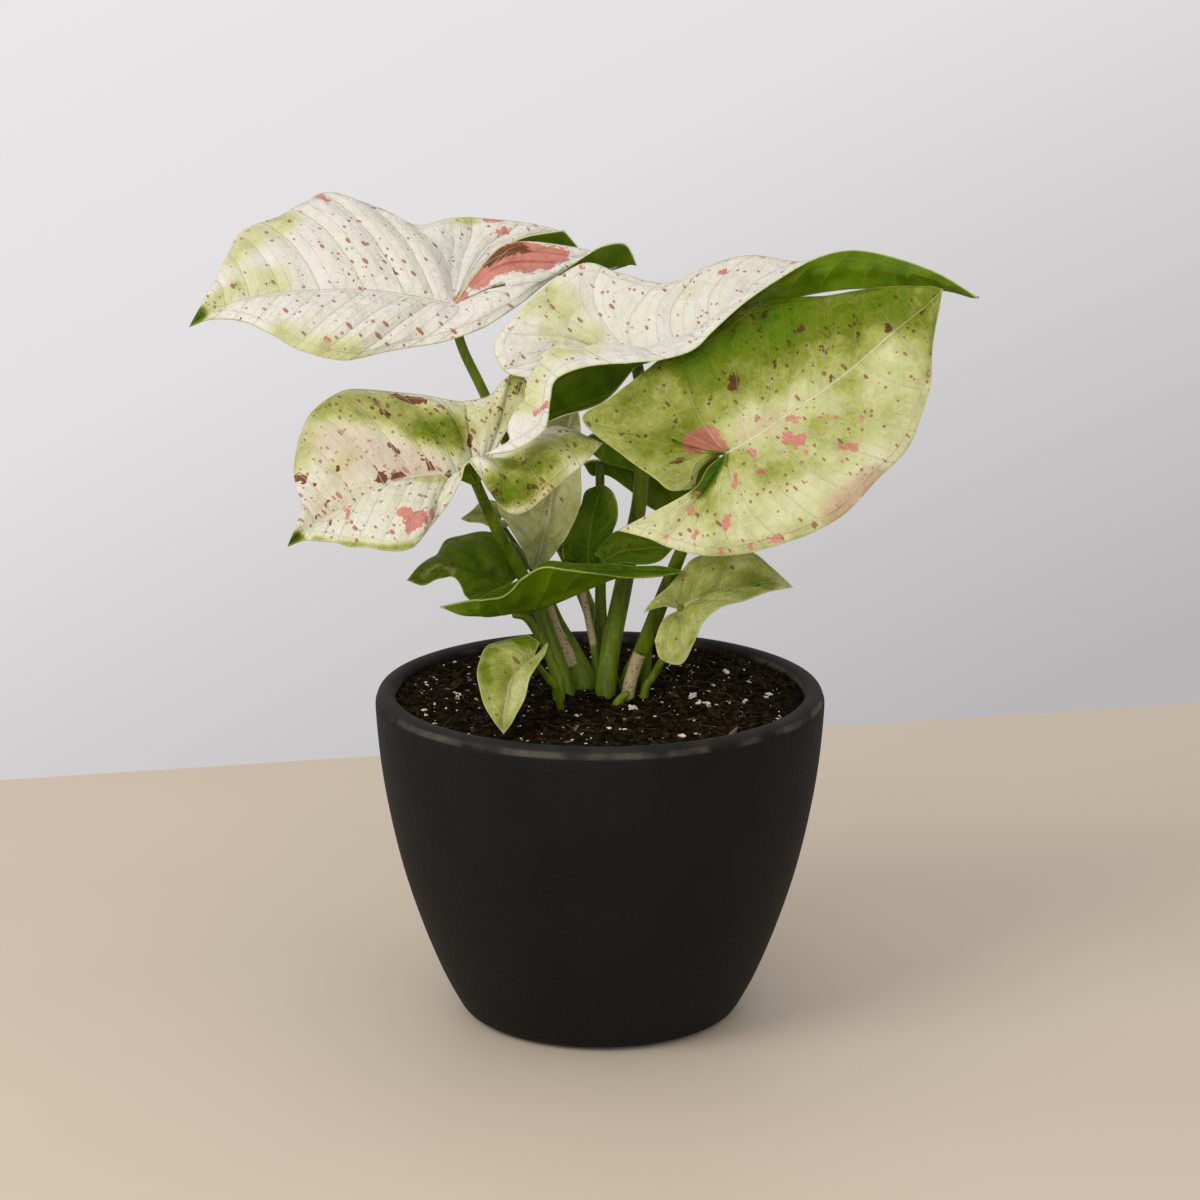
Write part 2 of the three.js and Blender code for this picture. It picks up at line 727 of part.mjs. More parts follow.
function soilGeometry() {
  const points = [new THREE.Vector3(0, 0, soilHeight(0, 0))];
  const ring = (radius, heightAt) => {
    for (let i = 0; i < POT_SIDES; i++) {
      const angle = (2 * Math.PI * i) / POT_SIDES;
      const [x, y] = [radius * Math.cos(angle), radius * Math.sin(angle)];
      points.push(new THREE.Vector3(x, y, heightAt(x, y)));
    }
  };
  const surfaceRadius = potInnerRadius(SOIL_LEVEL) - GAP;
  for (let k = 1; k < SOIL_RINGS; k++) ring((k / SOIL_RINGS) * surfaceRadius, soilHeight);
  ring(surfaceRadius, (x, y) => Math.min(soilHeight(x, y), SOIL_LEVEL));
  for (const z of SOIL_WALL_LEVELS) ring(potInnerRadius(z) - GAP, () => z);
  points.push(new THREE.Vector3(0, 0, SOIL_WALL_LEVELS.at(-1)));

  const triangles = [];
  const at = (k, i) => 1 + (k - 1) * POT_SIDES + (i % POT_SIDES);
  const ringCount = SOIL_RINGS + SOIL_WALL_LEVELS.length;
  for (let i = 0; i < POT_SIDES; i++) {
    triangles.push([0, at(1, i), at(1, i + 1)]);
    for (let k = 1; k < ringCount; k++) {
      triangles.push([at(k, i), at(k + 1, i), at(k + 1, i + 1)]);
      triangles.push([at(k, i), at(k + 1, i + 1), at(k, i + 1)]);
    }
    triangles.push([points.length - 1, at(ringCount, i + 1), at(ringCount, i)]);
  }
  return geometryFrom(points, triangles);
}

// One perlite grain, half sunk in the soil.
function perliteGrain(random) {
  const angle = 2 * Math.PI * random();
  const radius = PERLITE.reach * Math.sqrt(random());
  const size = PERLITE.size + PERLITE.extraSize * random() ** 3;
  const grain = new THREE.OctahedronGeometry(size, 0);
  grain.scale(1.3, 1, 0.8);
  grain.rotateZ(Math.PI * random());
  const [x, y] = [radius * Math.cos(angle), radius * Math.sin(angle)];
  grain.translate(x, y, soilHeight(x, y) + 0.1 * size);
  return { x, y, solid: toSolid(grain) };
}

function soilWith(stems) {
  const random = randomFrom(PERLITE.seed);
  const distance = ({ x, y }, { root: [rootX, rootY] }) => Math.hypot(x - rootX, y - rootY);
  let solid = toSolid(soilGeometry());
  for (let i = 0; i < PERLITE.count; i++) {
    const grain = perliteGrain(random);
    const isClear = stems.every((stem) => distance(grain, stem) > PERLITE.clearOfStems);
    if (isClear) solid = solid.add(grain.solid);
  }
  for (const stem of stems) solid = solid.subtract(toSolid(stemTube(stem, GAP)));
  return toGeometry(largestBody(solid));
}

// --- Stems ---

// A stem with its route turned into places, from its root up.
function placedStem(stem) {
  const above = stem.places?.map(vector) ?? stem.route.map(placeAtDepth).map(nearestMillimetre);
  return { ...stem, route: [vector([...stem.root, STEM_ROOT_LEVEL]), ...above] };
}

// A tapered round tube along a route, closed at both ends. clearance makes it that much fatter and longer.
function stemTube({ route, foot, head }, clearance = 0) {
  const sides = STEM_SIDES;
  const steps = STEM_STEPS_PER_STRETCH * (route.length - 1);
  const curve = curveThrough(route);
  const frames = curve.computeFrenetFrames(steps);
  const points = [];
  const triangles = [];
  for (let k = 0; k <= steps; k++) {
    const share = k / steps;
    const radius = THREE.MathUtils.lerp(foot, head, share ** STEM_TAPER) + clearance;
    const centre = curve.getPointAt(share);
    if (k === 0) centre.addScaledVector(frames.tangents[0], -clearance);
    for (let i = 0; i < sides; i++) {
      const angle = (2 * Math.PI * i) / sides;
      const rim = centre.clone();
      rim.addScaledVector(frames.normals[k], radius * Math.cos(angle));
      rim.addScaledVector(frames.binormals[k], radius * Math.sin(angle));
      points.push(rim);
    }
  }
  for (let k = 0; k < steps; k++) {
    for (let i = 0; i < sides; i++) {
      const [a, b] = [k * sides + i, k * sides + ((i + 1) % sides)];
      triangles.push([a, b, b + sides], [a, b + sides, a + sides]);
    }
  }
  for (let i = 1; i < sides - 1; i++) {
    triangles.push([0, i + 1, i]);
    triangles.push([steps * sides, steps * sides + i, steps * sides + i + 1]);
  }
  return geometryFrom(points, triangles);
}

// A stalk ends just under the blade that it carries.
function stalkUnder(stalk, blade) {
  const clearing = toSolid(bladeGeometry(blade, BLADE_THICKNESS + 2 * GAP));
  return toGeometry(largestBody(toSolid(stemTube(stalk)).subtract(clearing)));
}

// --- Leaf blades ---

// A leaf with its readings turned into places.
function placedLeaf(leaf) {
  const midrib = leaf.midrib.map(placeAtDepth);
  const spine = curveThrough(midrib);
  const placedSide = ({ facing, ribs }) =>
    ribs.map(([share, ...readings]) => {
      const start = spine.getPoint(share);
      const place = (reading) =>
        reading.length === 3 ? placeAtDepth(reading) : placeOnFlat(reading, start, vector(facing));
      return [share, ...readings.map(place).map(nearestMillimetre)];
    });
  const sides = { left: placedSide(leaf.left), right: placedSide(leaf.right) };
  return { ...leaf, ...sides, midrib: midrib.map(nearestMillimetre) };
}

// One rib, sampled from the midrib to the margin, as offsets from where it starts.
function ribOffsets([share, ...points], midrib, up, arch, cross) {
  const start = midrib.getPoint(share);
  const route = [start, ...points];
  if (route.length === 2) {
    const bow = arch * start.distanceTo(route[1]);
    const middle = start.clone().lerp(route[1], 0.5).addScaledVector(up, bow);
    route.splice(1, 0, middle);
  }
  const curve = curveThrough(route);
  return Array.from({ length: cross + 1 }, (_, i) => curve.getPoint(i / cross).sub(start));
}

// Where along a list of rising shares a value falls, as a fractional index.
function placeInShares(shares, value) {
  const next = shares.findIndex((share, i) => i > 0 && share >= value && share > 0);
  return next - 1 + (value - shares[next - 1]) / (shares[next] - shares[next - 1]);
}

// Rows of points over one side of a blade: first over its lobe, then along the midrib up to the tip.
function sideRows(ribs, { midrib, up, arch, steps }) {
  const shares = [...ribs.map(([share]) => share), 1];
  const sampled = ribs.map((rib) => ribOffsets(rib, midrib, up, arch, steps.cross));
  sampled.push(sampled[0].map(() => new THREE.Vector3()));
  const columns = sampled[0].map((_, i) => curveThrough(sampled.map((offsets) => offsets[i])));
  const lastLobeRib = shares.lastIndexOf(0);
  const places = [];
  for (let k = 0; k <= steps.lobe; k++) places.push({ share: 0, index: (lastLobeRib * k) / steps.lobe });
  for (let k = 1; k < steps.length; k++) {
    const share = k / steps.length;
    places.push({ share, index: placeInShares(shares, share) });
  }
  return places.map(({ share, index }) => {
    const start = midrib.getPoint(share);
    const points = columns.map((column) => column.getPoint(index / (shares.length - 1)).add(start));
    return { share, points };
  });
}

// The middle surface of a blade as points and triangles. Both sides share the midrib's points.
function bladeSurface(leaf) {
  const { steps } = leaf;
  const midrib = curveThrough(leaf.midrib);
  const shape = { ...leaf, midrib, up: vector(leaf.up).normalize() };
  const points = [];
  for (let k = 0; k <= steps.length; k++) points.push(midrib.getPoint(k / steps.length));
  const tip = steps.length;
  const triangles = [];
  const add = (a, b, c, flip) => {
    if (a !== b && b !== c && c !== a) triangles.push(flip ? [a, c, b] : [a, b, c]);
  };
  for (const side of ["left", "right"]) {
    const rows = sideRows(leaf[side], shape).map(({ share, points: row }) => {
      const ids = [Math.round(share * steps.length)];
      for (const point of row.slice(1)) ids.push(points.push(point) - 1);
      return ids;
    });
    rows.push(rows[0].map(() => tip));
    for (let k = 0; k + 1 < rows.length; k++) {
      for (let i = 0; i < steps.cross; i++) {
        const [a, b, c, d] = [rows[k][i], rows[k + 1][i], rows[k + 1][i + 1], rows[k][i + 1]];
        add(a, b, c, side === "right");
        add(a, c, d, side === "right");
      }
    }
  }
  return { points, triangles };
}

// Edges of the surface that only one triangle has, in that triangle's direction.
function openEdges(triangles) {
  const edges = new Map();
  for (const [a, b, c] of triangles) {
    for (const [from, to] of [[a, b], [b, c], [c, a]]) {
      if (!edges.delete(`${to},${from}`)) edges.set(`${from},${to}`, [from, to]);
    }
  }
  return [...edges.values()];
}

// A blade of even thickness: the surface moved out both ways along its normals, and walled round its margin.
function bladeGeometry(leaf, thickness) {
  const { points, triangles } = bladeSurface(leaf);
  const normals = points.map(() => new THREE.Vector3());
  for (const [a, b, c] of triangles) {
    const ab = points[b].clone().sub(points[a]);
    const normal = ab.cross(points[c].clone().sub(points[a])).normalize();
    for (const id of [a, b, c]) normals[id].add(normal);
  }
  const half = thickness / 2;
  const top = points.map((p, i) => p.clone().addScaledVector(normals[i].normalize(), half));
  const bottom = points.map((p, i) => p.clone().addScaledVector(normals[i], -half));
  const count = points.length;
  const faces = [...triangles];
  for (const [a, b, c] of triangles) faces.push([a + count, c + count, b + count]);
  for (const [a, b] of openEdges(triangles)) {
    faces.push([a, a + count, b + count], [a, b + count, b]);
  }
  return geometryFrom([...top, ...bottom], faces);
}

// --- Assembly ---

function piece(name, geometry, material) {
  const mesh = new THREE.Mesh(geometry, new THREE.MeshStandardMaterial(MATERIALS[material]));
  mesh.name = name;
  return mesh;
}

const leaves = LEAVES.map(placedLeaf);
const stalks = STALKS.map(placedStem);
const remains = REMAINS.map(placedStem);

const plant = new THREE.Group();
plant.add(piece("pot", potGeometry(), "pot"));
plant.add(piece("soil", soilWith([...stalks, ...remains]), "soil"));
for (const leaf of leaves) {
  plant.add(piece(`blade_${leaf.name}`, bladeGeometry(leaf, BLADE_THICKNESS), leaf.material));
}
for (const stalk of stalks) {
  const blade = leaves.find(({ name }) => name === stalk.name);
  plant.add(piece(`petiole_${stalk.name}`, stalkUnder(stalk, blade), "stalk"));
}
for (const remain of remains) {
  plant.add(piece(remain.name, stemTube(remain), "stalk"));
}

export default plant;
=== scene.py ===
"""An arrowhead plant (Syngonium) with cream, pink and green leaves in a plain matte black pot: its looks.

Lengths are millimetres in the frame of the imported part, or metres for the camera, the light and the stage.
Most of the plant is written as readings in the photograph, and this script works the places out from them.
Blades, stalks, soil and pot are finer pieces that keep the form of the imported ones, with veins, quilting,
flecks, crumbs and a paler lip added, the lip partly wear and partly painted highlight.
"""

import math

import bmesh
import bpy
import numpy as np
from mathutils import Euler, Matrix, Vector, noise
from mathutils.bvhtree import BVHTree


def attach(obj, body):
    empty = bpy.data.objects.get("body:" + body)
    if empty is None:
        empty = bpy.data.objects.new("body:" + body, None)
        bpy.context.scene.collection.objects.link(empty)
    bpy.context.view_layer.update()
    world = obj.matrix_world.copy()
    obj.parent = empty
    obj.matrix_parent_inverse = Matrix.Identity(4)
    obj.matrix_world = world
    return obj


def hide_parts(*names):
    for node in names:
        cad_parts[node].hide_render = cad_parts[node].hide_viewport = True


MM = 0.001
MM_PER_PIXEL = 0.35  # of the photograph, at the plant

# Camera, light and stage, in metres
CAMERA_PLACE = (0, -1.294, 0.484)
CAMERA_TILT = math.radians(75.6)
CAMERA_LENS = 113
SENSOR = 36
FLOOR_REACH = 3.0
FLOOR_BACK_EDGE = [(-3.0, -0.342), (3.0, 1.011)]
# The wall's colours darken to the right and downwards: that darkening is painted shade
WALL_COLOURS = [(0, (0.83, 0.81, 0.815)), (0.42, (0.76, 0.745, 0.75)), (1, (0.48, 0.47, 0.47))]
WALL_SHADE_SLANT = (1.46, 0, -3.08)  # how fast the painted shade on the wall deepens along each axis: to the right and downwards
WALL_LIGHT = 0.8
FLOOR_COLOUR = (0.68, 0.58, 0.445)
FLOOR_DARKENING = 0.96
FLOOR_CLOUD_RANGE = (0.3, 0.7)
FLOOR_ROUGHNESS = 0.6
KEY_LIGHT = {"place": (-1.35, -1.15, 1.45), "size": 1.1, "power": 20, "colour": (1, 0.985, 0.96)}
FILL_LIGHT = {"place": (0.2, -1.7, 0.55), "size": 1.6, "power": 9, "colour": (0.96, 0.98, 1)}
LIGHT_TARGET = (0, 0, 0.15)

# Pot, as (radius, height) from foot to lip and from lip to floor
POT_SIDES = 176
POT_RINGS = {"outside": 90, "inside": 30}
POT_FOOT_RADIUS = 43.2  # of the flat that it stands on
POT_BLACK = (0.0032, 0.0032, 0.0029)
POT_GREY = (0.0062, 0.0061, 0.0055)
# Paler grey for the pot's grains, and for its lip, which is partly wear and partly painted highlight
POT_PALE_WEAR_AND_HIGHLIGHT = (0.032, 0.031, 0.027)
# Colour of the scuffed band round the lip's outer edge, partly scuffing and partly painted highlight
POT_SCUFF_AND_HIGHLIGHT = (0.10, 0.088, 0.066)
POT_OUTSIDE = [
    (44, 0.3), (48.8, 1.8), (52, 6), (58, 18), (64.6, 35), (70.6, 54), (75.2, 74), (78.4, 94), (80, 113),
    (79.6, 117.2), (78.6, 119.2), (77.2, 119.9),
]
POT_LIP = [(76.4, 120), (75.4, 120), (74.6, 119.8), (73.4, 119), (72.8, 117.5)]
POT_INSIDE = [(71.4, 94), (68, 74), (63.4, 54), (57.4, 35), (50.8, 18), (43, 8)]
POT_STOPS = [(0.3, POT_BLACK), (0.75, POT_GREY)]
POT_SHINE = {"Roughness": 0.7, "Specular_IOR_Level": 0.18}
POT_RELIEF = 0.28
GRAINS_IN_RELIEF = 0.5
LIP_WEAR_AND_HIGHLIGHT_HEIGHTS = (117.2, 119.6)  # where the lip's wear and painted highlight start and are full
SCUFF_AND_HIGHLIGHT_START_HEIGHTS = (116.3, 117.0)  # where the scuffed band, partly painted highlight, comes in
SCUFF_AND_HIGHLIGHT_END_HEIGHTS = (118.2, 119.0)  # where it dies out

# Soil
SOIL_LEVEL = 116.6
SOIL_RADIUS = 72.4
SOIL_DEPTH = 12
SOIL_RINGS = 96
SOIL_SIDES = 220
SOIL_DARK = (0.004, 0.0028, 0.0012)
SOIL_MIDDLE = (0.012, 0.0084, 0.0037)
SOIL_PALE = (0.042, 0.029, 0.013)
PERLITE_WHITE = (0.76, 0.73, 0.60)
PERLITE_CREAM = (0.52, 0.48, 0.24)
BARK_TAN = (0.16, 0.105, 0.055)
FIBRE_TAN = (0.075, 0.05, 0.028)
SOIL_STOPS = [(0.3, SOIL_DARK), (0.55, SOIL_MIDDLE), (0.8, SOIL_PALE)]
SOIL_CLOUD_ROUGHNESS = 0.65
SOIL_MOUND = {"height": 1.4, "spread": 34}
SOIL_HEAP = {"x": -22, "y": 56, "height": 5, "spread": 14}
# The soil's lumps: how high they are and the two waves that they come from, each as how far it turns per
# millimetre to the right and per millimetre back, in radians, and where it starts
SOIL_LUMPS = [
    (0.55, (0.43, 0, 1.3), (0, 0.39, 0.4)),
    (0.45, (0.91, -0.33, 2), (0.27, 0.83, 0)),
    (0.3, (1.7, 0.6, 0), (-0.4, 1.5, math.pi / 2)),
]
CRUMBS = {"count": 3200, "seed": 3, "sizes": (0.4, 1.7), "stretch": (2, 0.8, 0.5), "lumps": 0.2, "reach": 71}
PERLITE = {
    "count": 700, "seed": 5, "sizes": (0.16, 0.62), "stretch": (1.7, 0.9, 0.6), "lumps": 0.26, "reach": 70,
}
BARK = {"count": 46, "seed": 8, "sizes": (1.0, 2.0), "stretch": (1.9, 0.6, 0.3), "lumps": 0.12, "reach": 68}
FIBRES = {"count": 90, "seed": 9, "lengths": (5, 14), "radius": 0.16, "reach": 64}
FIBRE_SHAPE = {"parts": 3, "sides": 5, "steps": 8, "bend": 1.2, "root": 0.5, "lift": (0.3, 1.4), "taper": 0.6}
CHUNK_TILT = 0.35  # how far crumbs and grains lean, in radians
CHUNK_VARIETY = (0.75, 1.25)  # how much narrower or wider they are
# Crumbs in the soil's own form: a fractal and cells, with their heights and how many waves or cells there are
# per millimetre
COARSE_CRUMBLE = {"height": 1.1, "scale": 0.28, "smoothness": 0.8, "gap": 2.2, "octaves": 4}
FINE_CRUMBLE = {"height": 0.35, "scale": 0.9, "level": 3}
SOIL_RELIEF = 0.8  # in the shading, like all reliefs here
SOIL_SHINE = {"Roughness": 0.95, "Specular_IOR_Level": 0.02}
CRUMB_LIGHTNESS = 2.0
GRAIN_WAVES = {"perlite": 500, "bark": 700, "fibres": 300}  # of the spots' noise, per metre
GRAIN_SPOTS = (3, 0.5, 0.7, 0, 1)  # the rest of that pattern, as for the patterns of noise below
GRAIN_DETAIL = 3
GRAIN_RELIEF = 0.2
GRAIN_SHINE = {"Roughness": 0.9, "Specular_IOR_Level": 0.2}
# The bigger perlite grains, as readings in the photograph, with their radii in millimetres
BIG_PERLITE = [
    (692, 696, 2.0), (697, 705, 1.4), (707, 704, 1.0), (634, 709, 1.5), (606, 729, 1.1), (682, 736, 1.1),
    (709, 706, 0.8), (745, 701, 0.8), (769, 694, 0.8), (712, 686, 0.8), (727, 672, 1.1), (576, 716, 0.8),
]

# Blades
BLADE_THICKNESS = 0.8
EDGE_THICKNESS = 0.5
EDGE_TAPER = 2.5
LOBE_SHARE = 0.45  # how much of the vein pattern's length the lobe behind the stalk takes up
# The quilting's most height, its most height as a share of the side veins' spacing, how round its tops are,
# from 0 for flat to 1 for a sine, and how far from midrib and margin it is full
QUILT = {"height": 1.6, "steepness": 0.14, "roundness": 0.6, "room": 5}
RIB_GROOVE = {"depth": 0.5, "width": 1.4, "room": 3}

# Stalks
STALK_SIDES = 16
STALK_STEPS = 8  # rings for each place that its route runs through
ROUTE_SAMPLES = 20
STALK_TAPER = 0.7
STRIPE_SOFTNESS = {"side": 0.2, "ends": 0.05}  # how far to either side of its edges a pale stripe fades
SHEATH_END = (0.25, 0.8)  # the shares of a stalk's length over which its sheath runs out

# Leaf colours, from creamiest to greenest, then veins, margin, underside, marks and dots
CREAM = (0.735, 0.705, 0.65)
PALE_LIME = (0.62, 0.62, 0.34)
LIME = (0.36, 0.385, 0.075)
OLIVE = (0.165, 0.20, 0.007)
LEAF_GREEN = (0.085, 0.165, 0.002)
DEEP_GREEN = (0.03, 0.085, 0.001)
VEIN_COLOUR = (0.80, 0.78, 0.62)
GREEN_VEIN = (0.26, 0.33, 0.03)
MARGIN_COLOUR = (0.60, 0.60, 0.30)
UNDERSIDE_DARK = (0.06, 0.125, 0.001)
UNDERSIDE_LIGHT = (0.13, 0.21, 0.002)
MARK_PINK = (0.66, 0.27, 0.21)
# Brown of the leaves' own brown marks, and of the painted shade of a fold on leaf 01
MARK_BROWN_AND_SHADE = (0.21, 0.078, 0.032)
MARK_DARK = (0.15, 0.05, 0.021)
BLUSH = (0.55, 0.34, 0.25)
MARK_ROSE = (0.40, 0.14, 0.09)
MARK_OLIVE = (0.09, 0.052, 0.012)
DOT_BROWN = (0.40, 0.155, 0.09)
DOT_GREEN = (0.075, 0.06, 0.006)
STALK_DARK = (0.04, 0.072, 0.001)
STALK_LIGHT = (0.19, 0.26, 0.006)
STALK_PALE = (0.40, 0.33, 0.17)
FACE_STOPS = [(0, CREAM), (0.22, PALE_LIME), (0.45, LIME), (0.65, OLIVE), (0.85, LEAF_GREEN), (1, DEEP_GREEN)]
UNDERSIDE_STOPS = [(0.3, UNDERSIDE_DARK), (0.7, UNDERSIDE_LIGHT)]
STALK_STOPS = [(0.35, STALK_DARK), (0.68, STALK_LIGHT)]
STALK_SHINE = {"Roughness": 0.42, "Specular_IOR_Level": 0.18}
LEAF_SHINE = {"Roughness": 0.4, "Specular_IOR_Level": 0.08}
LEAF_GLOW = {"Subsurface_Weight": 0.35, "Subsurface_Radius": (0.9, 1.0, 0.3), "Subsurface_Scale": 0.0015}

# How green a blade is where its veins, margin and dots start to turn green and its marks dull, and where they
# are so in full
VEIN_GREENING = (0.4, 0.75)
MARGIN_GREENING = (0.4, 0.8)
DOT_GREENING = (0.2, 0.6)
MARK_DULLING = (0.3, 0.6)

# Noise, as its waves per metre and its detail
FACE_CRUMPLE = (110, 2)
UNDERSIDE_CLOUDS = (120, 3)
UNDERSIDE_CRUMPLE = (260, 3)
STALK_STREAKS = (900, 3)
STALK_CLOUDS = (130, 3)
POT_CLOUDS = (30, 4)
POT_GRAINS = (2300, 3)
POT_PEBBLES = (650, 3)
SOIL_CLOUDS = (350, 5)
SOIL_GRIT = (1200, 4)
FLOOR_CLOUDS = (6, 2)

# Patterns of noise, as its waves per metre and its detail, the values it is cut to and what these turn into
FACE_CLOUDS = (85, 4, 0.3, 0.7, -1, 1)
FACE_MOTTLING = (380, 4, 0.3, 0.7, -1, 1)
MARK_SHADOWS = (500, 3, 0.35, 0.65, 0, 0.22)
STALK_SPECKS = (1300, 2, 0.58, 0.66, 0, 1)
# The lip's pale band is partly wear and partly painted highlight
LIP_WEAR_AND_HIGHLIGHT = (90, 4, 0.3, 0.7, 0.2, 0.8)
# The scuffed band is partly scuffing and partly painted highlight
SCUFFS_AND_HIGHLIGHT = (45, 5, 0.45, 0.6, 0, 0.75)

# What a value is cut to and what it turns into
CLOUDINESS = (0, 0.4, 0.03, 0.12)  # of greenness, into how much the clouds change it
GRAINS_SHOWN = (0.62, 0.75, 0, 0.4)
FRAYED = (0.55, 0.75, 0, 1)
FINE_VEIN_ROOM = (5, 10, 0, 0.3)  # of the side veins' spacing, into how strong the finer veins are
COLLECTIVE_LINE = (0.1, 0.35, 0.5, 0)  # of the distance in millimetres, into how strong the line is
MIDRIB_LINE = (0.3, 0.6, 0.8, 0)
MARGIN_LINE = (0.2, 0.6, 1, 0)

# How much of one pattern goes into another. A relief's height is in millimetres, and so are the reliefs that
# are a single number.
MOTTLING_SHARE = 0.3
STREAK_SHARE = 0.4
FRAY_SHARE = 0.4
BLUSH_STRENGTH = 0.6
SIDE_VEIN_STRENGTH = 0.65
VEIN_STRENGTH = {"face": 0.55, "underside": 0.3}
MARGIN_STRENGTH = {"face": 0.7, "underside": 0.75}
FACE_RELIEF = {"height": 1.2, "crumple": 2.4, "veins": 0.45, "net": 0.1}
UNDERSIDE_RELIEF = {"height": 0.25, "crumple": 0.8}
STALK_RELIEF = 0.15
STALK_STRETCH = (1, 1, 0.12)  # the share of its waves that the stalks' noise has left along each axis

# Patterns on the blades. Scales are cells or waves per metre, the net's width and the dots' radii are shares
# of a cell, the wobble's shift is in metres and all other lengths are millimetres.
NET = {"scale": 260, "width": 0.12, "strength": 0.15}
WOBBLE = {"scale": 300, "shift": 0.004}
MARK_JAGS = {"scale": 800, "reach": (-0.3, 1.1)}
MARK_EDGE = 0.06  # how far to either side of its edge a mark fades
FAR_FROM_MARKS = 5
ZONE_FADE = (0.4, 1.8)  # where a soft zone starts to fade and ends, in its radii
VEIN_BEND = 0.7  # how far a side vein bends on its way to the margin, as a share of the veins' spacing
VEIN_CORE = 0.08  # how far from its middle a vein is full
SIDE_VEIN_REACH = 0.42  # how far from its middle a side vein has faded out, and the same of a finer one
FINE_VEIN_REACH = 0.3
FINE_VEIN_PARTS = 3  # the finer veins part the room between side veins in so many
PHASE_SHIFT = 100.5  # keeps the phase above 0, and puts the veins halfway between its whole numbers
COLLECTIVE_VEIN = 3.2  # how far inside the margin it runs
SMALL_DOTS = {
    "scale": 420, "share": 1.0, "radii": (0.1, 0.32), "soft": 0.05, "strength": 0.85,
    "stretch": (1, 1, 1), "turn": 0,
}
DASHES = {
    "scale": 430, "share": 0.7, "radii": (0.08, 0.42), "soft": 0.05, "strength": 0.9,
    "stretch": (2.0, 1.2, 0.8), "turn": 0.8,
}

# Places on the plant are readings in the photograph, 1200 pixels wide: how far right and down, and how far
# back from the pot's middle in millimetres. The camera's sight line through the pixel then gives the place.
PHOTO_CENTRE = 600
PIXELS_PER_SLOPE = 3766  # how many pixels a sight line with a slope of 1 is off the centre

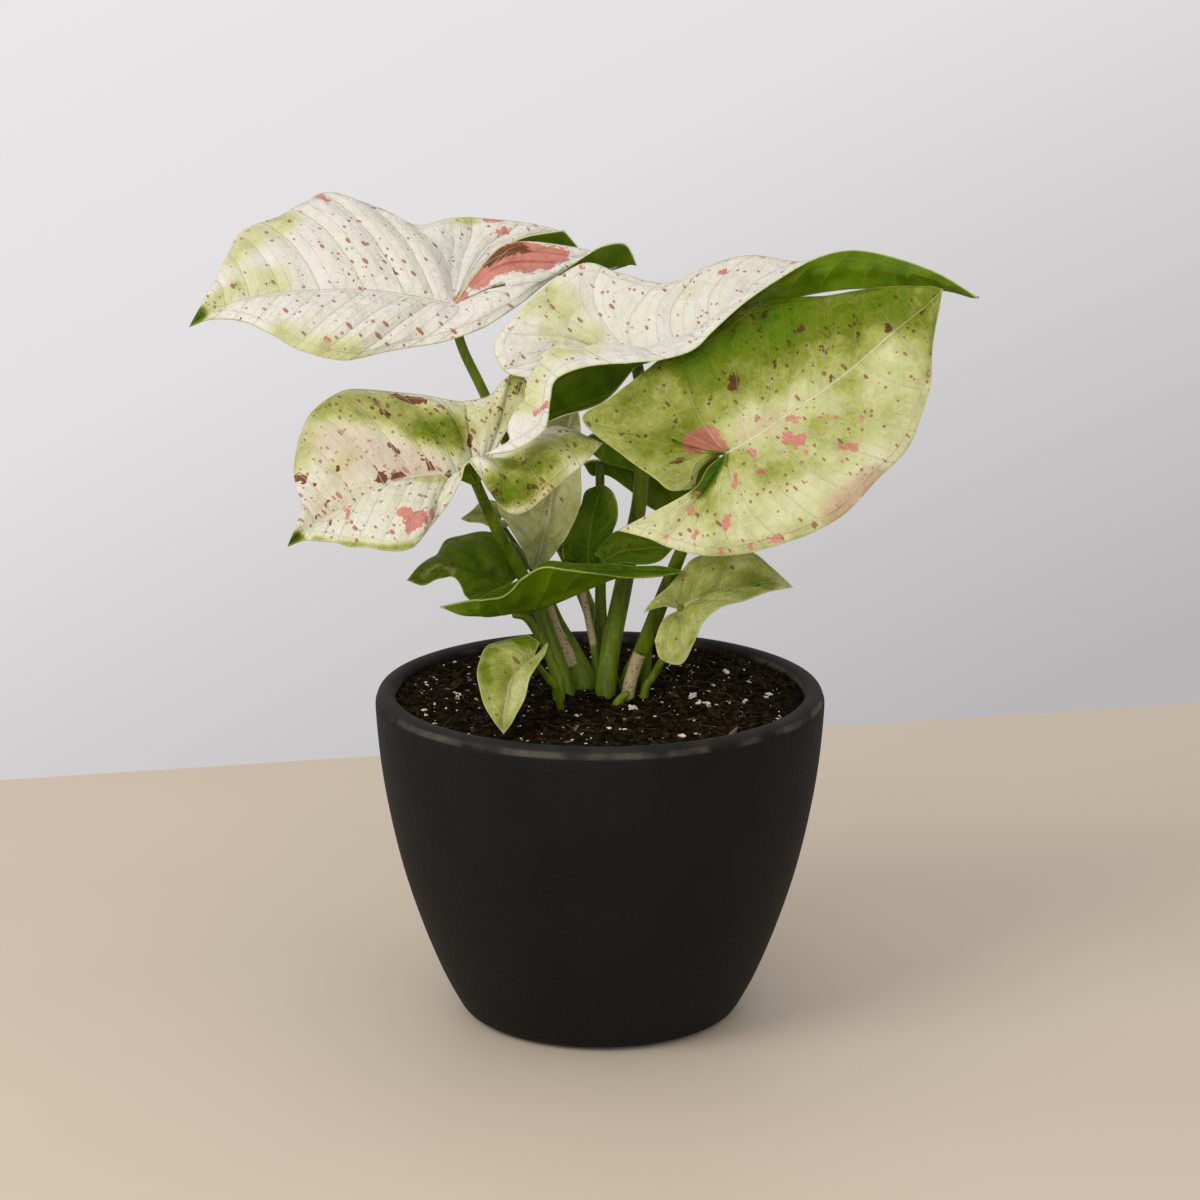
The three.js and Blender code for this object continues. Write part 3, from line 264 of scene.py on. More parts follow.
# Each leaf blade: the midrib runs from the base, where the leaf stalk joins, to the tip.
# A rib is the share of the midrib's length that it starts at and the readings that it runs through, the last
# of them on the margin. Ribs at share 0 fan out over the lobe behind the stalk, the first along its notch.
# A rib's reading without a depth lies on the flat through the rib's start that faces the way its side does.
# Left and right are as seen from above the leaf, looking from base to tip. up is the way its face looks, and
# arch is how far a rib with nothing between its ends bows that way, as a share of the rib's length.
LEAVES = {
    "01": {
        "up": (-0.03, -0.57, 0.82),
        "arch": 0.08,
        "midrib": [
            (452, 306, 20), (420, 297, 18), (364, 292, 16), (298, 293, 13), (249, 299, 10), (214, 312, 6),
            (190, 327, 0),
        ],
        "left": {
            "facing": (-0.05, -0.52, 0.85),
            "ribs": [
                (0, (484, 263, 29), (512, 242, 36), (572, 246, 44), (632, 262, 48)),
                (0, (500, 266, 31), (560, 262, 40), (612, 266, 44), (637, 264, 43)),
                (0, (505, 271, 30), (562, 270, 38), (606, 276, 42), (625, 244, 38)),
                (0, (508, 275, 28), (560, 275, 35), (592, 276, 38), (604, 245, 34)),
                (0, (510, 280, 25), (556, 278, 32), (586, 255, 31)), (0, (508, 284, 22), (570, 267, 28)),
                (0, (547, 284, 25)), (0, (522, 304, 18)), (0, (484, 328)), (0.03, (443, 342)),
                (0.1, (394, 350)), (0.2, (346, 361)), (0.36, (305, 351)), (0.52, (275, 336)),
                (0.7, (240, 321)), (0.86, (211, 319)),
            ],
        },
        "right": {
            "facing": (0, -0.62, 0.78),
            "ribs": [
                (0, (482, 266, 34), (518, 240, 43), (563, 231, 51)),
                (0, (486, 264, 39), (532, 249, 50), (577, 246, 56)),
                (0, (485, 257, 43), (526, 241, 54), (562, 232, 59)), (0, (480, 250, 46), (533, 225, 58)),
                (0, (464, 256, 43), (492, 219, 57)), (0, (448, 260, 39), (455, 219, 54)),
                (0.05, (420, 227)), (0.12, (392, 213)), (0.2, (361, 201)), (0.27, (330, 193)),
                (0.34, (310, 200)), (0.46, (278, 216)), (0.6, (243, 233)), (0.76, (226, 258)),
                (0.88, (208, 295)),
            ],
        },
    },
    "02": {
        "up": (-0.1, -0.7, 0.7),
        "arch": 0.08,
        "midrib": [
            (477, 484, -16), (449, 474, -20), (422, 474, -22), (388, 484, -25), (350, 503, -28),
            (325, 520, -31), (306, 531, -35), (289, 546, -40),
        ],
        "left": {
            "facing": (-0.1, -0.5, 0.86),
            "ribs": [
                (0, (496, 462, -21), (552, 426, -22), (603, 443, -30)),
                (0, (499, 461, -26), (548, 446, -33), (583, 464, -38)),
                (0, (493, 461, -28), (528, 464, -38), (562, 483, -42)),
                (0, (486, 460, -29), (508, 476, -40), (527, 510, -43)),
                (0, (480, 459, -29), (494, 474, -41), (505, 510, -43)),
                (0, (474, 459, -29), (484, 465, -38), (488, 490, -41)),
                (0, (472, 471, -24), (469, 461, -32)), (0.03, (465, 474, -25), (459, 482, -33)),
                (0.07, (456, 482, -27), (447, 503, -36)), (0.14, (440, 497, -29), (434, 525, -40)),
                (0.24, (413, 548)), (0.38, (385, 550)), (0.52, (355, 548)), (0.66, (335, 541)),
                (0.82, (308, 541)),
            ],
        },
        "right": {
            "facing": (-0.1, -0.82, 0.56),
            "ribs": [
                (0, (506, 432, -8), (534, 388, -4)), (0, (500, 425, -6), (518, 373, -1)),
                (0, (492, 430, -8), (506, 380, -2)), (0, (490, 395)), (0, (464, 401)), (0.08, (437, 398)),
                (0.18, (400, 393)), (0.28, (369, 389)), (0.38, (345, 391)), (0.47, (322, 403)),
                (0.56, (306, 420)), (0.65, (297, 445)), (0.74, (293, 474)), (0.83, (300, 500)),
                (0.93, (298, 523)),
            ],
        },
    },
    "03": {
        "up": (0.1, -0.5, 0.86),
        "arch": 0.07,
        "midrib": [
            (636, 364, -3), (680, 346, -5), (722, 322, -6), (760, 304, -7), (800, 295, -9), (848, 288, -12),
            (900, 286, -16), (945, 288, -21), (978, 299, -28),
        ],
        "left": {
            "facing": (0.1, -0.5, 0.85),
            "ribs": [
                (0, (590, 356, 5), (534, 380, -8)), (0, (574, 345, 7), (505, 372, -4)),
                (0, (566, 334, 7), (494, 346, 1)), (0, (570, 325, 8), (510, 320, 7)),
                (0, (580, 315, 11), (543, 288, 14)), (0, (600, 308, 13), (584, 264, 20)),
                (0, (618, 312, 11), (615, 272, 20)), (0.03, (640, 315, 9), (642, 281, 19)),
                (0.1, (660, 312, 8), (667, 283, 19)), (0.18, (690, 305, 9), (700, 270, 23)),
                (0.28, (725, 290, 8), (746, 256, 24)), (0.4, (772, 284, 5), (795, 262, 17)),
                (0.52, (812, 278, -1), (826, 258, 9)), (0.65, (860, 273, -6), (870, 257, 3)),
                (0.78, (908, 278, -11), (915, 267, -4)), (0.9, (946, 286, -18), (950, 281, -14)),
            ],
        },
        "right": {
            "facing": (0.1, -0.3, -0.95),
            "ribs": [
                (0, (602, 402, -4), (552, 421, -29), (485, 455, -44)),
                (0, (585, 378, -6), (517, 424, -37), (515, 450, -46)),
                (0, (583, 368, -7), (528, 402, -31), (543, 432, -43)),
                (0, (586, 361, -8), (536, 378, -24), (551, 402, -37)),
                (0, (592, 358, -8), (550, 355, -19), (556, 379, -34)),
                (0, (605, 357, -7), (582, 351, -17), (586, 367, -32)),
                (0, (628, 357, -8), (622, 350, -17), (625, 363, -31)),
                (0.06, (655, 349, -16), (655, 360, -31)), (0.13, (684, 339, -16), (690, 350, -29)),
                (0.2, (706, 328, -15), (712, 332, -27)), (0.28, (734, 306, -14), (740, 305, -25)),
                (0.38, (765, 294, -16), (772, 282, -20)), (0.5, (806, 278, -15), (814, 260, -14)),
                (0.62, (845, 270, -16), (850, 251, -13)), (0.74, (888, 272, -18), (893, 256, -15)),
                (0.87, (932, 281, -24), (938, 273, -24)),
            ],
        },
    },
    "04": {
        "up": (-0.1, -0.89, 0.44),
        "arch": 0.07,
        "midrib": [
            (728, 453, -42), (757, 435, -42), (787, 416, -41), (839, 378, -38), (894, 331, -35),
            (925, 306, -34), (944, 289, -34),
        ],
        "left": {
            "facing": (-0.1, -0.9, 0.42),
            "ribs": [
                (0, (716, 456, -37), (701, 470, -39), (693, 488, -43)),
                (0, (708, 458, -39), (672, 489, -46)), (0, (698, 454, -38), (652, 478, -43)),
                (0, (680, 446, -36), (622, 455, -37)), (0, (655, 432, -33), (583, 421, -30)),
                (0, (668, 420, -31), (609, 400, -28)), (0, (684, 410, -31), (641, 374, -25)),
                (0.05, (708, 400, -30), (670, 351, -21)), (0.14, (740, 380, -28), (708, 334, -17)),
                (0.25, (772, 360, -26), (745, 309, -13)), (0.38, (805, 340, -25), (786, 298, -12)),
                (0.52, (842, 322, -24), (830, 296, -12)), (0.66, (875, 308, -25), (868, 288, -16)),
                (0.8, (908, 295, -28), (905, 286, -22)), (0.92, (932, 286, -29)),
            ],
        },
        "right": {
            "facing": (-0.1, -0.88, 0.46),
            "ribs": [
                (0, (708, 467, -44), (694, 487, -47), (660, 509, -48), (619, 530, -46)),
                (0, (706, 490, -46), (676, 518, -49), (646, 537)),
                (0, (712, 492, -47), (692, 525, -50), (672, 548)), (0, (708, 557)), (0, (745, 553)),
                (0.06, (778, 544)), (0.14, (812, 533)), (0.24, (845, 512)), (0.35, (878, 479)),
                (0.47, (908, 446)), (0.6, (925, 402)), (0.73, (931, 368)), (0.84, (935, 335)),
                (0.94, (939, 306)),
            ],
        },
    },
    "05": {
        "up": (0.1, 0.75, 0.65),
        "arch": 0.1,
        "midrib": [
            (600, 461, 16), (622, 466, 20), (650, 477, 26), (686, 488, 34), (718, 500, 42),
        ],
        "left": {
            "facing": (0.1, 0.7, 0.7),
            "ribs": [
                (0, (582, 462, 20)), (0, (592, 476, 23)), (0, (606, 474, 24)), (0.25, (628, 490, 27)),
                (0.5, (652, 508, 34)), (0.75, (690, 520, 42)),
            ],
        },
        "right": {
            "facing": (0.1, 0.7, 0.7),
            "ribs": [
                (0, (580, 448, 17)), (0, (590, 436, 16)), (0, (612, 428, 15)), (0.3, (650, 438, 18)),
                (0.6, (698, 442, 22)), (0.82, (724, 466, 30)),
            ],
        },
    },
    "06": {
        "up": (0, -0.95, 0.3),
        "arch": -0.1,
        "midrib": [
            (537, 571, 12), (541, 548, 10), (549, 512, 10), (559, 465, 14), (568, 425, 20), (573, 403, 24),
        ],
        "left": {
            "facing": (0, -0.9, 0.4),
            "ribs": [
                (0, (529, 566, 8)), (0.1, (522, 547, 2)), (0.25, (510, 527, -2)), (0.42, (498, 505, -2)),
                (0.58, (505, 470, 2)), (0.75, (528, 435, 10)), (0.9, (556, 410, 19)),
            ],
        },
        "right": {
            "facing": (0, -0.9, 0.4),
            "ribs": [
                (0, (543, 566, 8)), (0.12, (560, 546, -1)), (0.25, (569, 532, -3)), (0.42, (581, 503, -4)),
                (0.58, (580, 468, 1)), (0.75, (579, 434, 9)), (0.9, (577, 410, 20)),
            ],
        },
    },
    "07": {
        "up": (0, -0.95, 0.3),
        "arch": -0.1,
        "midrib": [
            (588, 566, 7), (590, 545, 5), (592, 520, 6), (597, 500, 9), (602, 484, 13),
        ],
        "left": {
            "facing": (0, -0.9, 0.4),
            "ribs": [
                (0, (576, 569, 5)), (0, (564, 559, 3)), (0.2, (562, 540, 2)), (0.4, (569, 521, 5)),
                (0.6, (579, 506, 8)), (0.8, (587, 492, 11)),
            ],
        },
        "right": {
            "facing": (0, -0.9, 0.4),
            "ribs": [
                (0, (599, 569, 7)), (0, (608, 556, 6)), (0.2, (611, 536, 3)), (0.4, (617, 520, 0)),
                (0.6, (616, 505, 2)), (0.8, (610, 491, 7)),
            ],
        },
    },
    "08": {
        "up": (0, -0.71, 0.71),
        "arch": 0.1,
        "midrib": [
            (604, 560, -4), (620, 553, -3), (640, 549, -3), (658, 548, -4), (675, 548, -5),
        ],
        "left": {
            "facing": (0, -0.7, 0.7),
            "ribs": [
                (0, (595, 554, -3)), (0, (606, 541, -1)), (0.3, (619, 531, 0)), (0.55, (637, 534, 0)),
                (0.8, (660, 541, -2)),
            ],
        },
        "right": {
            "facing": (0, -0.6, 0.8),
            "ribs": [
                (0, (606, 565, -7)), (0.15, (618, 563, -8)), (0.4, (637, 565, -9)), (0.7, (660, 561, -8)),
            ],
        },
    },
    "09": {
        "up": (0, -0.51, 0.86),
        "arch": 0.08,
        "midrib": [
            (514, 612, -14), (535, 608, -14), (560, 601, -16), (588, 586, -18), (616, 577, -18),
            (650, 573, -18), (687, 572, -20),
        ],
        "left": {
            "facing": (0, -0.5, 0.85),
            "ribs": [
                (0, (495, 609, -14), (470, 603, -14)), (0, (492, 592, -12)), (0, (522, 577, -8)),
                (0.18, (545, 563, -5)), (0.35, (575, 563, -8)), (0.52, (605, 564, -13)),
                (0.7, (631, 570, -16), (632, 565, -15)), (0.86, (660, 570, -18), (660, 567, -16)),
            ],
        },
        "right": {
            "facing": (0, -0.9, 0.3),
            "ribs": [
                (0, (485, 616, -18), (462, 614, -22), (440, 606, -22)),
                (0, (492, 617, -20), (476, 614, -24), (470, 601, -24)),
                (0, (500, 613, -21), (484, 598, -27)), (0, (510, 606, -22), (505, 595, -29)),
                (0.08, (526, 598, -22), (521, 579, -29)), (0.2, (545, 590, -23), (541, 567, -29)),
                (0.36, (572, 584, -24), (568, 569, -29)), (0.52, (602, 578, -23), (600, 574, -27)),
                (0.68, (622, 578, -24)), (0.84, (655, 578, -23)),
            ],
        },
    },
    "10": {
        "up": (0, -0.76, 0.65),
        "arch": 0.09,
        "midrib": [
            (510, 585, 6), (492, 577, 5), (480, 571, 4), (463, 567, 3), (447, 567, 1), (430, 572, -2),
            (407, 580, -8),
        ],
        "left": {
            "facing": (0, -0.7, 0.7),
            "ribs": [
                (0, (500, 600, 0)), (0, (486, 603, -1)), (0.05, (470, 601, -1)), (0.25, (461, 588, -2)),
                (0.45, (452, 577, -3)), (0.6, (440, 579, -5)), (0.8, (424, 584, -7)),
            ],
        },
        "right": {
            "facing": (0, -0.75, 0.65),
            "ribs": [
                (0, (533, 566, 16)), (0, (524, 553, 18)), (0, (508, 541, 19)), (0.05, (487, 533, 19)),
                (0.2, (463, 535, 18)), (0.36, (447, 541, 15)), (0.5, (436, 554, 10)), (0.66, (427, 560, 2)),
                (0.82, (417, 569, -4)),
            ],
        },
    },
    "11": {
        "up": (0, -0.8, 0.6),
        "arch": 0.09,
        "midrib": [
            (680, 609, -22), (693, 602, -22), (721, 591, -20), (748, 586, -20), (771, 583, -22),
            (792, 586, -26),
        ],
        "left": {
            "facing": (0, -0.8, 0.6),
            "ribs": [
                (0, (664, 606, -26), (643, 612, -30)), (0, (668, 600, -24), (652, 600, -26)),
                (0, (668, 585, -20)), (0.05, (683, 570, -16)), (0.2, (694, 557, -12)),
                (0.4, (724, 551, -9)), (0.6, (750, 552, -11)), (0.8, (772, 567, -18)),
            ],
        },
        "right": {
            "facing": (0, -0.8, 0.6),
            "ribs": [
                (0, (664, 618, -28), (654, 640, -34)), (0, (672, 630, -30), (660, 658, -36)),
                (0, (684, 634, -31), (681, 664, -36)), (0, (688, 626, -30), (693, 645, -34)),
                (0.1, (702, 625, -32)), (0.25, (722, 606, -30)), (0.4, (745, 600, -29)),
                (0.62, (765, 592, -26)), (0.82, (780, 589, -25)),
            ],
        },
    },
    "12": {
        "up": (-0.1, -0.8, 0.6),
        "arch": 0.1,
        "midrib": [
            (533, 660, -34), (521, 667, -37), (511, 684, -42), (506, 699, -46), (504, 716, -51),
            (504, 735, -57),
        ],
        "left": {
            "facing": (0, -0.7, 0.7),
            "ribs": [
                (0, (549, 643, -33)), (0.1, (544, 653, -37)), (0.28, (535, 668, -43)),
                (0.5, (526, 688, -49)), (0.7, (520, 706, -53)), (0.86, (513, 721, -56)),
            ],
        },
        "right": {
            "facing": (0, -0.8, 0.6),
            "ribs": [
                (0, (541, 642, -26)), (0, (528, 637, -24)), (0, (508, 638, -25)), (0.1, (489, 647, -30)),
                (0.28, (478, 664, -36)), (0.45, (477, 682, -42)), (0.65, (484, 705, -48)),
                (0.84, (495, 722, -54)),
            ],
        },
    },
    "13": {
        "up": (0, -0.71, 0.71),
        "arch": 0.1,
        "midrib": [
            (500, 520, 30), (488, 516, 30), (475, 515, 29), (461, 519, 27),
        ],
        "left": {
            "facing": (0, -0.7, 0.7),
            "ribs": [
                (0, (510, 526, 26)), (0.15, (497, 529, 23)), (0.5, (482, 524, 24)), (0.78, (470, 521, 26)),
            ],
        },
        "right": {
            "facing": (0, -0.7, 0.7),
            "ribs": [
                (0, (508, 510, 34)), (0.1, (498, 503, 36)), (0.45, (484, 501, 35)), (0.75, (473, 509, 32)),
            ],
        },
    },
}

# Leaf stalks and the remains of older ones, from the root in the soil up, with their radii at root and head.
# A stalk's route is given in readings, and the places that a remain runs through are in millimetres. sheath
# is how much wider a stalk is near its root, and stripe a pale stretch: the way it faces, how narrow it is
# from 0 for half of the stalk to 1 for nothing, and the shares of the length that it runs over.
STEM_ROOT_LEVEL = 108
STALKS = {
    "petiole_01": {
        "radii": (2.4, 1.7),
        "sheath": 0.4,
        "root": (7, 16),
        "route": [
            (612, 678, 17), (600, 645, 21), (585, 600, 25), (560, 545, 27), (531, 495, 27), (486, 396, 24),
            (463, 345, 22), (452, 307, 21),
        ],
    },
    "petiole_02": {
        "radii": (3, 1.8),
        "sheath": 0.3,
        "root": (-11, -4),
        "route": [
            (566, 686, -2), (556, 655, 1), (541, 614, 4), (520, 574, 3), (499, 532, -2), (487, 505, -8),
            (476, 482, -17),
        ],
    },
    "petiole_03": {
        "radii": (3.6, 2.2),
        "sheath": 0.4,
        "root": (2, -7),
        "route": [
            (605, 690, -5), (612, 645, 1), (622, 590, 9), (630, 545, 14), (639, 500, 12), (643, 450, 8),
            (642, 400, 4), (638, 366, -1),
        ],
    },
    "petiole_04": {
        "radii": (2.5, 1.7),
        "sheath": 0.8,
        "root": (10, 1),
        "route": [
            (628, 684, 1), (641, 650, 0), (662, 600, -4), (681, 555, -11), (701, 510, -22), (717, 473, -32),
            (728, 455, -40),
        ],
    },
    "petiole_05": {
        "radii": (2.2, 1.6),
        "root": (-1, 11),
        "route": [
            (597, 680, 11), (597, 650, 13), (599, 600, 16), (600, 540, 18), (601, 490, 18), (600, 463, 18),
        ],
    },
    "petiole_06": {
        "radii": (3, 1.6),
        "sheath": 2.4,
        "stripe": {"faces": (-0.45, -0.9, 0), "narrow": 0.62, "shares": (0.34, 0.97)},
        "root": (-6, 3),
        "route": [
            (582, 686, 5), (572, 655, 9), (559, 625, 11), (547, 595, 12), (537, 573, 12),
        ],
    },
    "petiole_07": {
        "radii": (1.7, 1.2),
        "stripe": {"faces": (0, -1, 0), "narrow": 0.1, "shares": (0.5, 1.2)},
        "root": (0, 1),
        "route": [
            (600, 688, 1), (595, 650, 2), (589, 620, 4), (584, 590, 6), (588, 570, 8),
        ],
    },
    "petiole_08": {
        "radii": (1.5, 1.1),
        "root": (8, 8),
        "route": [
            (615, 675, 8), (606, 640, 8), (604, 600, 6), (604, 575, 2), (604, 561, -3),
        ],
    },
    "petiole_09": {
        "radii": (2, 1.5),
        "sheath": 0.3,
        "root": (-14, -12),
        "route": [
            (558, 684, -11), (550, 655, -10), (537, 632, -9), (525, 618, -10), (515, 614, -13),
        ],
    },
    "petiole_10": {
        "radii": (1.7, 1.2),
        "root": (-10, 11),
        "route": [
            (566, 678, 12), (552, 650, 14), (534, 620, 14), (520, 600, 12), (511, 588, 6),
        ],
    },
    "petiole_11": {
        "radii": (1.7, 1.2),
        "root": (15, -8),
        "route": [
            (644, 690, -8), (653, 675, -7), (668, 650, -9), (679, 625, -14), (680, 607, -23),
        ],
    },
    "petiole_12": {
        "radii": (1.6, 1.1),
        "root": (-12, -19),
        "route": [
            (556, 692, -22), (548, 678, -26), (539, 668, -30), (534, 662, -33),
        ],
    },
    "petiole_13": {
        "radii": (1.4, 0.9),
        "root": (-6, 21),
        "route": [
            (575, 660, 26), (555, 620, 31), (530, 570, 33), (510, 535, 32), (501, 522, 30),
        ],
    },
    "cut_stub": {
        "radii": (2.5, 2.4),
        "stripe": {"faces": (-0.5, -0.85, 0.2), "narrow": 0.1, "shares": (0.4, 1.2)},
        "root": (9, -9),
        "places": [(10, -9, 120), (12, -8, 128), (14, -8, 134)],
    },
    "old_sheath": {
        "radii": (2.6, 1.2),
        "root": (15, 5),
        "places": [(16, 5, 120), (17, 6, 130), (17, 8, 141)],
    },
    "bract": {
        "radii": (3.6, 1.2),
        "root": (6, -17),
        "places": [(6, -17, 117), (8, -17.5, 121), (10, -18, 122.5)],
    },
}

